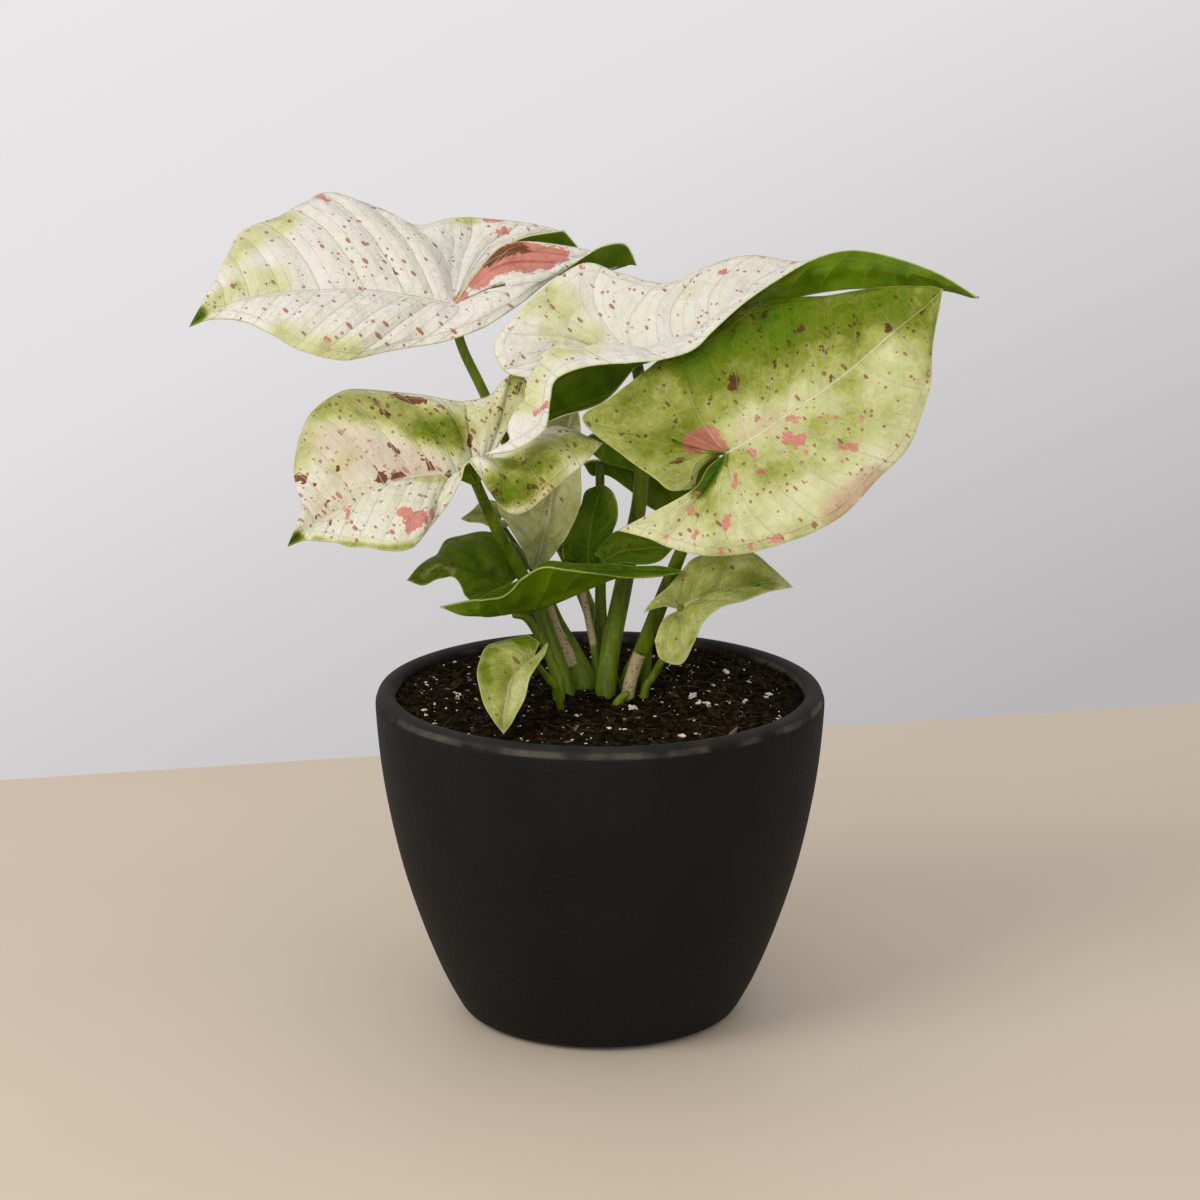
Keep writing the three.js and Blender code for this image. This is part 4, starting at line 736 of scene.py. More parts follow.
# Marks on the blades, read in an enlarged window of the photograph: window is its left and top edge in the
# photograph and how much it is enlarged, and without one they are read in the photograph itself. Pink and
# brown marks are (radius, readings) and soft green and blush zones are (amount, radius, readings), with radii
# and readings in the window's own pixels.
WHOLE_PHOTO = (0, 0, 1)
MARKS = {
    "01": {
        "window": (180, 180, 3.267),
        "pink": [
            (15, (445, 50), (480, 78)), (10, (512, 55), (528, 72)), (9, (660, 100), (695, 128)),
            (9, (583, 143)), (10, (764, 192)), (8, (683, 235)), (5, (467, 118)),
            (12, (1005, 136), (1036, 142)), (13, (1020, 185), (1065, 168)), (8, (943, 165)),
            (24, (920, 385)), (44, (985, 330)), (58, (1045, 285)), (60, (1110, 280)), (46, (1180, 262)),
            (30, (1240, 245)), (30, (1040, 250), (1090, 225), (1140, 235)), (15, (478, 525)),
            (8, (487, 556)), (8, (557, 540)), (10, (447, 400)),
            (10, (840, 430)), (7, (735, 445)), (8, (970, 468)), (7, (885, 262)),
            (6, (850, 190)), (6, (720, 270)), (5, (560, 215)), (6, (600, 290), (615, 300)), (6, (655, 170)),
            (5, (790, 415), (810, 418)), (5, (730, 445), (742, 452)), (7, (905, 520)), (5, (1000, 455)),
        ],
        "brown": [
            (8, (530, 300), (560, 330)), (11, (388, 303)), (6, (575, 285), (612, 300)), (7, (357, 328)),
            (9, (280, 347)), (5, (288, 285)), (6, (678, 460)), (6, (512, 258), (520, 262)),
            (6, (700, 300), (712, 312)), (7, (738, 235)), (6, (820, 300), (835, 330)), (5, (626, 522)),
            # The broad brown mark from (1000, 270) to (1130, 228), along the top of the big pink patch, is
            # painted shade of the fold above it; the other brown marks are the leaf's own
            (6, (365, 500)), (15, (1000, 270), (1045, 240), (1095, 222), (1130, 228)),
            (5, (345, 150), (352, 160)), (5, (280, 135)), (5, (420, 275), (428, 280)), (5, (470, 190)),
            (5, (745, 290), (770, 305)), (5, (850, 360), (840, 350)), (5, (495, 408)), (5, (750, 320)),
            (5, (350, 325), (362, 333)), (5, (765, 520)), (5, (690, 478)), (5, (195, 458)), (5, (535, 185)),
        ],
        "green": [
            (0.18, 50, (320, 335), (230, 345)), (0.22, 30, (180, 360), (110, 410)), (0.1, 40, (340, 150)),
            (0.95, 26, (60, 440), (33, 478)), (0.22, 60, (170, 250), (260, 180), (330, 150)),
            (0.25, 50, (340, 520), (430, 570), (550, 575)), (0.3, 26, (900, 140), (950, 128)),
        ],
    },
    "02": {
        "window": (180, 360, 4.126),
        "brown": [
            (21, (885, 160), (950, 174), (1005, 185)), (15, (800, 208), (862, 243)),
            (9, (770, 168), (820, 182)), (6, (760, 155)), (9, (718, 303), (757, 323)),
            (8, (740, 345), (775, 350)), (5, (820, 350), (880, 372)), (9, (997, 405), (1043, 448)),
            (9, (935, 385)), (6, (880, 405)), (5, (905, 320), (940, 335)), (6, (1020, 370)),
            (20, (835, 485)), (14, (885, 485), (912, 478)), (9, (808, 492)), (19, (492, 490), (515, 500)),
            (9, (560, 512), (595, 522)), (8, (690, 490), (740, 495)), (8, (618, 545), (638, 547)),
            (10, (655, 450), (670, 435)), (9, (735, 430)), (8, (525, 430)), (12, (1203, 318), (1192, 352)),
            (12, (1110, 475)), (12, (950, 520)), (10, (898, 540)), (8, (828, 545)),
            (9, (1403, 108), (1372, 152)), (20, (1308, 545)), (9, (1345, 572)),
            (14, (1415, 533), (1455, 522)), (7, (1380, 450), (1440, 420), (1500, 395)),
            (5, (750, 238)), (6, (925, 238)), (7, (1190, 330), (1205, 310)), (6, (1310, 190), (1318, 210)),
            (6, (660, 340)), (6, (640, 565), (600, 600)), (6, (625, 670), (630, 690)), (6, (790, 290)),
            (8, (900, 390), (885, 372)), (7, (940, 370), (935, 400)), (7, (870, 360), (850, 352)),
            (7, (830, 455), (800, 430)), (8, (770, 480), (745, 470)), (6, (720, 380), (715, 410)),
            (6, (990, 350), (1020, 375)), (5, (1050, 355)), (8, (1115, 470), (1100, 490)), (6, (820, 620)),
            (6, (845, 600)), (6, (760, 690)), (5, (650, 715)), (6, (555, 650)), (5, (720, 580)),
            (6, (610, 520), (640, 500)), (6, (1465, 495)), (6, (1510, 440), (1540, 430)), (5, (1455, 290)),
        ],
        "pink": [
            (13, (685, 615), (700, 650)), (10, (740, 590)), (30, (930, 635)), (36, (960, 672)),
            (34, (985, 655)), (26, (1022, 640)), (14, (1055, 612)), (18, (950, 705)),
        ],
        "green": [
            (0.42, 80, (600, 190), (770, 205), (950, 240), (1110, 310)),
            (0.2, 70, (1150, 250), (1250, 250), (1350, 215)),
            (0.22, 60, (1000, 300), (1100, 330)), (0.25, 60, (520, 330), (500, 430)),
            (0.9, 30, (480, 740), (450, 765)), (0.4, 20, (560, 745), (700, 775), (860, 785), (960, 770)),
            (0.35, 60, (1340, 540), (1450, 500), (1540, 470)),
            (0.4, 60, (1400, 430), (1540, 380), (1700, 345)),
            (0.24, 40, (1190, 430), (1225, 510)), (0.3, 34, (1300, 420), (1355, 440)),
            (0.4, 50, (1290, 500), (1350, 560), (1420, 560)),
            (0.3, 40, (1380, 90), (1430, 120)),
            (0.3, 36, (1000, 500), (1070, 500)), (0.2, 34, (690, 410), (640, 450)),
        ],
        "blush": [
            (0.7, 75, (620, 340), (760, 385), (900, 425), (1000, 450)), (0.35, 70, (560, 580), (680, 520)),
            (0.2, 80, (700, 180), (900, 210)),
        ],
    },
    "03": {
        "window": (480, 230, 3.015),
        "pink": [
            (11, (718, 142), (740, 132)), (10, (750, 155)), (8, (632, 157)), (9, (600, 265)),
            (9, (475, 303), (495, 315)), (8, (850, 88)), (10, (303, 120)), (9, (160, 350)),
            (6, (388, 278), (402, 266)), (7, (432, 153)), (8, (614, 342)), (6, (945, 102)), (5, (835, 133)),
            (6, (210, 225)), (6, (92, 300)), (9, (205, 525), (150, 570), (105, 610)), (7, (30, 668)),
            (6, (555, 270)), (5, (660, 255)),
        ],
        "green": [
            (0.18, 50, (260, 230), (240, 300)), (0.22, 40, (330, 320)), (0.2, 40, (120, 200), (160, 150)),
            (0.2, 40, (240, 380), (330, 370)), (0.2, 36, (180, 450), (150, 530)), (0.12, 30, (640, 200)),
        ],
    },
    "04": {
        "window": (480, 230, 3.015),
        "brown": [
            (18, (765, 455), (763, 475)), (14, (695, 518)), (9, (812, 540)), (14, (593, 570)),
            (12, (585, 712), (605, 702)),
            (16, (970, 305)), (12, (860, 260)), (10, (1232, 297)), (10, (1070, 410)),
            (8, (893, 400), (897, 420)), (7, (1060, 450)),
            (8, (1018, 238)), (9, (1135, 285)), (8, (1145, 320)), (9, (1055, 320)), (10, (1028, 362)),
            (6, (1350, 370)), (6, (1345, 435)), (6, (1170, 225)), (6, (1335, 250)), (7, (555, 490)),
            (6, (845, 470)),
            (6, (800, 400)), (6, (700, 470)), (6, (500, 625), (485, 610)), (6, (950, 350)), (6, (760, 560)),
        ],
        "pink": [
            (32, (650, 640), (690, 625)), (20, (722, 650)), (9, (692, 690)),
            (20, (930, 630)), (24, (965, 640)), (14, (990, 672)), (12, (1028, 566), (1078, 575)),
            (10, (932, 572), (958, 572)), (12, (1090, 655), (1130, 657)), (14, (1087, 707)),
            (10, (1150, 570)), (7, (1035, 610)), (13, (822, 675)), (8, (788, 675)), (14, (845, 737)),
            (12, (900, 740)), (9, (772, 745), (768, 775)), (12, (748, 865), (742, 895)), (14, (657, 920)),
            (11, (636, 848)), (8, (655, 798)), (9, (727, 967)), (11, (820, 952)),
            (9, (872, 935), (908, 930)), (8, (1025, 808), (1052, 797)), (6, (912, 868)), (7, (557, 925)),
            (7, (1213, 687)), (9, (1275, 397)),
        ],
        "blush": [
            (1.2, 34, (1190, 750), (1130, 795), (1070, 845)), (0.5, 34, (800, 610), (880, 575)),
        ],
        "green": [
            # The first zone, deeper green along the blade's top, is partly the leaf's own green and partly
            # painted shade under leaf 03 above it
            (0.25, 110, (680, 320), (900, 250), (1100, 220), (1300, 220)),
            (0.12, 120, (760, 420), (1000, 340)),
            (0.16, 110, (560, 430), (470, 560), (600, 640)), (-0.2, 60, (800, 610), (900, 570), (1000, 500)),
            (-0.14, 90, (1250, 420), (1250, 600)), (-0.2, 80, (1180, 740), (1000, 840), (800, 880)),
            (-0.2, 70, (500, 900), (620, 930)), (0.6, 22, (720, 690), (700, 720), (660, 780)),
        ],
    },
    "10": {
        "green": [
            (0.24, 5, (462, 552), (470, 560)), (0.24, 4, (478, 566)), (0.2, 4, (488, 552)),
            (0.24, 5, (492, 572)), (-0.35, 4, (424, 577), (436, 567), (452, 572)), (-0.12, 3, (480, 558)),
            (-0.2, 3, (497, 585)),
        ],
    },
    "11": {
        "brown": [(1.6, (671, 611)), (0.7, (668, 580)), (0.6, (690, 575)), (0.6, (655, 644))],
        "green": [
            (0.12, 9, (700, 562), (725, 560)), (0.14, 7, (745, 575), (770, 585)), (-0.06, 8, (660, 640)),
        ],
    },
    "12": {
        "green": [
            (0.24, 8, (500, 642), (528, 643)), (0.2, 7, (492, 655)), (0.2, 5, (488, 680), (484, 668)),
            (-0.07, 6, (528, 664), (518, 690), (508, 716)), (0.1, 4, (500, 662)),
        ],
    },
}

# How each blade looks: grid steps along the midrib, over a lobe and across, how many side veins each side
# has, how green its face is, from 0 for cream to 1 for deep green, and how thickly it is flecked, up to 1.
BLADE_LOOKS = {
    "01": {"slot": "leaf_cream", "steps": (90, 60, 34), "veins": 9, "green": 0.02, "flecks": 0.5},
    "02": {"slot": "leaf_cream", "steps": (80, 60, 34), "veins": 9, "green": 0.08, "flecks": 0.9},
    "03": {"slot": "leaf_cream", "steps": (90, 60, 34), "veins": 9, "green": 0.03, "flecks": 0.38},
    "04": {"slot": "leaf_lime", "steps": (90, 50, 34), "veins": 9, "green": 0.43, "flecks": 0.55},
    "05": {"slot": "leaf_lime", "steps": (40, 20, 16), "veins": 5, "green": 0.5, "flecks": 0.4},
    "06": {"slot": "leaf_cream", "steps": (44, 16, 14), "veins": 5, "green": 0.36, "flecks": 0.14},
    "07": {"slot": "leaf_green", "steps": (40, 20, 16), "veins": 5, "green": 0.88, "flecks": 0.1},
    "08": {"slot": "leaf_green", "steps": (40, 20, 14), "veins": 4, "green": 0.85, "flecks": 0.1},
    "09": {"slot": "leaf_green", "steps": (56, 24, 20), "veins": 6, "green": 0.88, "flecks": 0.15},
    "10": {"slot": "leaf_green", "steps": (48, 22, 18), "veins": 5, "green": 0.78, "flecks": 0.12},
    "11": {"slot": "leaf_lime", "steps": (48, 26, 18), "veins": 5, "green": 0.47, "flecks": 0.14},
    "12": {"slot": "leaf_lime", "steps": (44, 22, 16), "veins": 5, "green": 0.5, "flecks": 0.2},
    "13": {"slot": "leaf_lime", "steps": (30, 14, 10), "veins": 4, "green": 0.52, "flecks": 0.2},
}

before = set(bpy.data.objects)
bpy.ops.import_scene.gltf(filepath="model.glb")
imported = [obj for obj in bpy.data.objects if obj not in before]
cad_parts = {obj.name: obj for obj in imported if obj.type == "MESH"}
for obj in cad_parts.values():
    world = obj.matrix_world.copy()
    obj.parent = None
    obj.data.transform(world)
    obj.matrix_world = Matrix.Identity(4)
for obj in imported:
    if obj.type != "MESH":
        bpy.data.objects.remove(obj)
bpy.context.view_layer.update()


# --- Curves and meshes ---


def sight_line(right, down):
    """The way that the camera looks at a pixel of the photograph."""
    tilt = math.pi / 2 - CAMERA_TILT
    across = (right - PHOTO_CENTRE) / PIXELS_PER_SLOPE
    below = (down - PHOTO_CENTRE) / PIXELS_PER_SLOPE
    forward = math.cos(tilt) - below * math.sin(tilt)
    return np.array([across, forward, -math.sin(tilt) - below * math.cos(tilt)])


def place_at_depth(reading):
    """The place of a reading with a depth, in millimetres."""
    right, down, depth = reading
    eye = np.array(CAMERA_PLACE) / MM
    line = sight_line(right, down)
    return eye + line * (depth - eye[1]) / line[1]


def place_on_flat(reading, point, facing):
    """The place of a reading without a depth, on the flat through a point that faces a given way."""
    eye = np.array(CAMERA_PLACE) / MM
    line = sight_line(*reading)
    return eye + line * np.dot(facing, point - eye) / np.dot(facing, line)


def placed_side(side, midrib):
    """A side's ribs with their readings turned into places, to the nearest millimetre."""
    ribs = []
    for share, *readings in side["ribs"]:
        start = along_curve(midrib, [share])[0]
        places = [
            place_at_depth(reading) if len(reading) == 3 else place_on_flat(reading, start, side["facing"])
            for reading in readings
        ]
        ribs.append((share, *np.rint(places)))
    return ribs


def placed_leaf(leaf):
    """A leaf with the readings of its midrib and ribs turned into places."""
    midrib = [place_at_depth(reading) for reading in leaf["midrib"]]
    sides = {side: placed_side(leaf[side], midrib) for side in ("left", "right")}
    return {**leaf, **sides, "midrib": np.rint(midrib)}


def placed_route(stalk):
    """The places that a stalk runs through, from its root up."""
    root = (*stalk["root"], STEM_ROOT_LEVEL)
    above = stalk.get("places") or [np.rint(place_at_depth(reading)) for reading in stalk["route"]]
    return [root, *above]


def along_curve(points, shares):
    """Places on a smooth curve through the points, at shares of its stretches (uniform Catmull-Rom)."""
    p = np.asarray(points, float)
    p = np.concatenate([[2 * p[0] - p[1]], p, [2 * p[-1] - p[-2]]])
    place = np.clip(np.asarray(shares, float), 0, 1) * (len(points) - 1)
    first = np.minimum(place.astype(int), len(points) - 2)
    t = (place - first).reshape((-1,) + (1,) * (p.ndim - 1))
    a, b, c, d = p[first], p[first + 1], p[first + 2], p[first + 3]
    cubic = 3 * b - a - 3 * c + d
    square = 2 * a - 5 * b + 4 * c - d
    return 0.5 * (2 * b + (c - a) * t + square * t**2 + cubic * t**3)


def smooth_step(low, high, value):
    """0 up to low and 1 from high on, with a smooth change between them."""
    t = np.clip((value - low) / (high - low), 0, 1)
    return t * t * (3 - 2 * t)


def make_object(name, points, faces, materials, smooth=True):
    """An object from points in millimetres."""
    mesh = bpy.data.meshes.new(name)
    mesh.from_pydata((np.asarray(points) * MM).tolist(), [], [tuple(map(int, face)) for face in faces])
    mesh.polygons.foreach_set("use_smooth", [smooth] * len(mesh.polygons))
    for material in materials:
        mesh.materials.append(material)
    mesh.update()
    obj = bpy.data.objects.new(name, mesh)
    bpy.context.scene.collection.objects.link(obj)
    return obj


def dress(obj, slot, *nodes):
    """Puts a piece on the part: it rides with it and stands for the nodes given. The slot is not used."""
    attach(obj, "root")
    if nodes:
        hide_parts(*nodes)
    return obj


def ring_faces(rings, sides):
    """Quads between rings of points, each ring closing on itself."""
    faces = []
    for k in range(rings - 1):
        for i in range(sides):
            j = (i + 1) % sides
            faces.append((k * sides + i, k * sides + j, (k + 1) * sides + j, (k + 1) * sides + i))
    return faces


def tube_faces(rings, sides):
    """The faces of a tube between its rings, with both ends closed."""
    faces = ring_faces(rings, sides)
    faces.append(tuple(range(sides))[::-1])
    faces.append(tuple(range((rings - 1) * sides, rings * sides)))
    return faces


def lathe(profile, sides):
    """A surface turned round the upright axis, with flat caps closing it at both ends of the profile."""
    angles = 2 * np.pi * np.arange(sides) / sides
    circle = np.stack([np.cos(angles), np.sin(angles)], 1)
    points = [(*(radius * unit), z) for radius, z in profile for unit in circle]
    return points, tube_faces(len(profile), sides)


# --- Materials ---


class Nodes:
    """A small helper that adds and links the shader nodes of one material or world."""

    def __init__(self, owner, shader="BSDF_PRINCIPLED"):
        owner.use_nodes = True
        self.owner = owner
        self.tree = owner.node_tree
        self.shader = next(node for node in self.tree.nodes if node.type == shader)

    def set(self, **values):
        """Sets sockets of the shader by name, with _ for a space."""
        for name, value in values.items():
            self.shader.inputs[name.replace("_", " ")].default_value = value

    def plug(self, name, source):
        """Links a value to a socket of the shader."""
        self.tree.links.new(source, self.shader.inputs[name])

    def add(self, kind, inputs=(), **settings):
        """A new node with its settings made and its inputs set to values or linked to other nodes."""
        node = self.tree.nodes.new(kind)
        for name, value in settings.items():
            setattr(node, name, value)
        for key, value in dict(inputs).items():
            if isinstance(value, bpy.types.NodeSocket):
                self.tree.links.new(value, node.inputs[key])
            else:
                node.inputs[key].default_value = value
        return node

    def place(self):
        """The place on the object, in metres."""
        return self.add("ShaderNodeTexCoord").outputs["Object"]

    def math(self, operation, a, b=0.0):
        """One value, or a sum or the like of two."""
        return self.add("ShaderNodeMath", {0: a, 1: b}, operation=operation).outputs[0]

    def total(self, *parts):
        """The sum of values, each given with its weight."""
        found = 0.0
        for value, weight in parts:
            inputs = {0: value, 1: weight, 2: found}
            found = self.add("ShaderNodeMath", inputs, operation="MULTIPLY_ADD").outputs[0]
        return found

    def strongest(self, *values):
        """The highest of some values."""
        found = values[0]
        for value in values[1:]:
            found = self.math("MAXIMUM", found, value)
        return found

    def ramp(self, value, low, high, to_low=0.0, to_high=1.0):
        """A clamped straight change of value from low..high to to_low..to_high."""
        inputs = {"Value": value, "From Min": low, "From Max": high, "To Min": to_low, "To Max": to_high}
        return self.add("ShaderNodeMapRange", inputs, clamp=True).outputs[0]

    def noise(self, scale, detail, place, roughness=0.5):
        """Soft noise around 0.5."""
        inputs = {"Vector": place, "Scale": scale, "Detail": detail, "Roughness": roughness}
        return self.add("ShaderNodeTexNoise", inputs).outputs["Fac"]

    def pattern(self, pattern, place):
        """Noise that is cut to a range of its values, which then turn into another one."""
        scale, detail, *change = pattern
        return self.ramp(self.noise(scale, detail, place), *change)

    def cells(self, scale, place, feature="F1"):
        """A pattern of cells round random points."""
        return self.add("ShaderNodeTexVoronoi", {"Vector": place, "Scale": scale}, feature=feature)

    def colours(self, value, stops):
        """A colour ramp with the stops given as (place, colour)."""
        node = self.add("ShaderNodeValToRGB", {"Fac": value})
        elements = node.color_ramp.elements
        while len(elements) < len(stops):
            elements.new(1.0)
        for element, (place, colour) in zip(elements, stops):
            element.position = place
            element.color = (*colour, 1)
        return node.outputs["Color"]

    def mix(self, share, a, b):
        """Colour a where the share is 0 and colour b where it is 1."""
        node = self.add("ShaderNodeMix", data_type="RGBA")
        for key, value in (("Factor", share), ("A", a), ("B", b)):
            socket = next(s for s in node.inputs if s.name == key and s.enabled)
            if isinstance(value, bpy.types.NodeSocket):
                self.tree.links.new(value, socket)
            elif isinstance(value, tuple):
                socket.default_value = (*value, 1)
            else:
                socket.default_value = value
        return next(s for s in node.outputs if s.enabled)

    def cover(self, colour, cover, mask, strength):
        """A colour with another one laid over it where the mask is 1, as strongly as given."""
        return self.mix(self.math("MULTIPLY", mask, strength), colour, cover)

    def bump(self, height, distance):
        """Relief in the shading: height from 0 to 1 stands for distance in millimetres."""
        inputs = {"Height": height, "Distance": distance * MM, "Strength": 1.0}
        self.plug("Normal", self.add("ShaderNodeBump", inputs).outputs["Normal"])


def new_material(name):
    """The nodes of a new material."""
    return Nodes(bpy.data.materials.new(name))


# --- Blades ---


def rib_offsets(rib, leaf, cross):
    """One rib, sampled from the midrib to the margin, as offsets from where it starts."""
    share, *points = rib
    start = along_curve(leaf["midrib"], [share])[0]
    route = [start, *np.asarray(points, float)]
    if len(route) == 2:
        up = np.asarray(leaf["up"]) / np.linalg.norm(leaf["up"])
        bow = leaf["arch"] * np.linalg.norm(route[1] - start)
        route.insert(1, (start + route[1]) / 2 + up * bow)
    return along_curve(route, np.linspace(0, 1, cross + 1)) - start


def side_grid(ribs, leaf, steps):
    """Points over one side of a blade, by row and column, and the share of the midrib that each row is at.

    Rows go over the lobe first, then along the midrib up to the tip. Columns go from midrib to margin.
    """
    length, lobe, cross = steps
    shares = np.array([rib[0] for rib in ribs] + [1.0])
    sampled = [rib_offsets(rib, leaf, cross) for rib in ribs]
    sampled.append(np.zeros((cross + 1, 3)))
    last_lobe_rib = np.flatnonzero(shares == 0)[-1]
    places = list(last_lobe_rib * np.arange(lobe + 1) / lobe)
    rows = [0.0] * (lobe + 1)
    for k in range(1, length + 1):
        share = k / length
        following = max(int(np.searchsorted(shares, share)), last_lobe_rib + 1)
        before = shares[following - 1]
        places.append(following - 1 + (share - before) / (shares[following] - before))
        rows.append(share)
    offsets = along_curve(sampled, np.array(places) / (len(shares) - 1))
    return offsets + along_curve(leaf["midrib"], rows)[:, None], np.array(rows)


def side_fields(grid, rows, lobe, veins):
    """What the leaf's pattern needs at each grid point: vein phase, its spacing and two distances, in mm."""
    pattern = rows.copy()
    pattern[: lobe + 1] = LOBE_SHARE * (np.arange(lobe + 1) / lobe - 1)
    across = np.linspace(0, 1, grid.shape[1])
    phase = (pattern * veins)[:, None] - VEIN_BEND * across**2
    row_gap = np.linalg.norm(np.gradient(grid, axis=0), axis=2)
    spacing = row_gap / np.maximum(np.gradient(phase, axis=0), 1e-6)
    column_gap = np.linalg.norm(np.diff(grid, axis=1), axis=2)
    from_rib = np.concatenate([np.zeros((len(grid), 1)), np.cumsum(column_gap, 1)], 1)
    row_steps = np.linalg.norm(np.diff(grid, axis=0), axis=2)
    from_notch = np.concatenate([np.zeros((1, grid.shape[1])), np.cumsum(row_steps, 0)])
    from_edge = np.minimum(from_rib[:, -1:] - from_rib, from_notch)
    return {"phase": phase, "spacing": spacing, "from_rib": from_rib, "from_edge": from_edge}


def blade_sheet(leaf, steps, veins):
    """A blade's middle surface: points, quads, the field places of the quads' corners, and the fields."""
    length, lobe, cross = steps
    points = list(along_curve(leaf["midrib"], np.linspace(0, 1, length + 1)))
    quads, corners, fields = [], [], []
    for side in ("left", "right"):
        grid, rows = side_grid(leaf[side], leaf, steps)
        side_start = len(points)
        field_start = sum(len(f["phase"]) for f in fields)
        points.extend(grid[:-1, 1:].reshape(-1, 3))
        values = side_fields(grid, rows, lobe, veins)
        fields.append({name: value.reshape(-1) for name, value in values.items()})
        ids = np.empty(grid.shape[:2], int)
        ids[:-1, 1:] = side_start + np.arange((len(grid) - 1) * cross).reshape(-1, cross)
        ids[:, 0] = np.maximum(np.arange(len(grid)) - lobe, 0)
        ids[-1] = length
        places = field_start + np.arange(ids.size).reshape(ids.shape)
        for cells, found in ((ids, quads), (places, corners)):
            around = (cells[:-1, :-1], cells[1:, :-1], cells[1:, 1:], cells[:-1, 1:])
            quad = np.stack(around, 2).reshape(-1, 4)
            found.append(quad[:, ::-1] if side == "right" else quad)
    merged = {name: np.concatenate([f[name] for f in fields]) for name in fields[0]}
    return np.array(points), np.concatenate(quads), np.concatenate(corners), merged


def point_values(values, quads, corners, count):
    """Values of the field places carried over to the points that they belong to."""
    found = np.zeros(count)
    found[quads.reshape(-1)] = values[corners.reshape(-1)]
    return found


def point_normals(points, quads):
    """The way that a sheet faces at each of its points."""
    a, b, c, d = (points[quads[:, i]] for i in range(4))
    cross = np.cross(c - a, d - b)
    normals = np.zeros_like(points)
    for i in range(4):
        np.add.at(normals, quads[:, i], cross)
    return normals / np.maximum(np.linalg.norm(normals, axis=1), 1e-12)[:, None]


def blade_relief(phase, spacing, from_rib, from_edge):
    """How far the sheet stands up: quilted between the side veins, sunken along the midrib."""
    pillow = np.abs(np.sin(np.pi * phase)) ** QUILT["roundness"]
    room = smooth_step(0, QUILT["room"], from_rib) * smooth_step(0, QUILT["room"], from_edge)
    groove = RIB_GROOVE["depth"] * np.exp(-((from_rib / RIB_GROOVE["width"]) ** 2))
    height = np.minimum(QUILT["height"], QUILT["steepness"] * spacing)
    return height * pillow * room - groove * smooth_step(0, RIB_GROOVE["room"], from_edge)


def open_edges(quads):
    """Edges that only one face has, in its direction, with the face and the corner that they start at."""
    edges = {}
    for face, quad in enumerate(quads.tolist()):
        for i in range(4):
            a, b = quad[i], quad[(i + 1) % 4]
            if a == b:
                continue
            if (b, a) in edges:
                del edges[(b, a)]
            else:
                edges[(a, b)] = (face, i)
    return edges


def blade_mesh(points, quads, corners, fields):
    """A sheet made thick: its points, and its faces with the field places of their corners and their side.

    Side 0 is the upper side and the margin, and side 1 the underside.
    """
    normals = point_normals(points, quads)
    on_points = {name: point_values(value, quads, corners, len(points)) for name, value in fields.items()}
    relief = blade_relief(**on_points)
    shares = smooth_step(0, EDGE_TAPER, on_points["from_edge"])
    half = (EDGE_THICKNESS + (BLADE_THICKNESS - EDGE_THICKNESS) * shares) / 2
    middle = points + normals * relief[:, None]
    count = len(points)
    top, bottom = middle + normals * half[:, None], middle - normals * half[:, None]
    faces = quads.tolist() + (quads[:, ::-1] + count).tolist()
    places = corners.tolist() + corners[:, ::-1].tolist()
    for (a, b), (face, i) in open_edges(quads).items():
        start, end = corners[face][i], corners[face][(i + 1) % 4]
        faces.append([a, a + count, b + count, b])
        places.append([start, start, end, end])
    sides = [0] * len(quads) + [1] * len(quads) + [0] * (len(faces) - 2 * len(quads))
    rows = []
    for face, place, side in zip(faces, places, sides):
        kept = [i for i in range(4) if face[i] != face[i - 1]]
        if len(kept) > 2:
            rows.append(([face[i] for i in kept], [place[i] for i in kept], side))
    return np.concatenate([top, bottom]), rows


def place_on_sheet(tree, points, window, reading):
    """Where the sight line through a reading in a window meets a blade's sheet, or passes nearest to it."""
    left, top, enlargement = window
    line = Vector(sight_line(left + reading[0] / enlargement, top + reading[1] / enlargement)).normalized()
    eye = Vector(CAMERA_PLACE) / MM
    hit = tree.ray_cast(eye, line)[0]
    if hit:
        return np.array(hit)
    from_eye = points - np.array(eye)
    along = from_eye @ np.array(line)
    return points[np.argmin(np.linalg.norm(from_eye - along[:, None] * np.array(line), axis=1))]


def placed_marks(name, points, quads):
    """A blade's marks by kind, each a list of its numbers, with its radius in millimetres, and its places."""
    marks = MARKS.get(name, {})
    window = marks.get("window", WHOLE_PHOTO)
    tree = BVHTree.FromPolygons(points.tolist(), quads.tolist())
    size = MM_PER_PIXEL / window[2]
    found = {}
    for kind in ("pink", "brown", "blush", "green"):
        found[kind] = []
        for mark in marks.get(kind, []):
            *amount, radius = [value for value in mark if not isinstance(value, tuple)]
            readings = [value for value in mark if isinstance(value, tuple)]
            places = [place_on_sheet(tree, points, window, reading) for reading in readings]
            found[kind].append((*amount, radius * size, places))
    return found


def distance_to_route(points, route):
    """How far each point is from a route of straight stretches."""
    if len(route) == 1:
        return np.linalg.norm(points - route[0], axis=1)
    found = np.full(len(points), np.inf)
    for a, b in zip(route[:-1], route[1:]):
        along = (points - a) @ (b - a) / max(np.dot(b - a, b - a), 1e-9)
        nearest = a + np.clip(along, 0, 1)[:, None] * (b - a)
        found = np.minimum(found, np.linalg.norm(points - nearest, axis=1))
    return found


def mark_depth(points, marks):
    """How deep inside the nearest mark each point lies, in mm, and below 0 outside them all."""
    depth = np.full(len(points), -FAR_FROM_MARKS)
    for radius, places in marks:
        depth = np.maximum(depth, radius - distance_to_route(points, places))
    return depth


def zone_sum(points, zones):
    """The soft zones' amounts, added up at each point."""
    total = np.zeros(len(points))
    for amount, radius, places in zones:
        inner, outer = (share * radius for share in ZONE_FADE)
        total += amount * (1 - smooth_step(inner, outer, distance_to_route(points, places)))
    return total


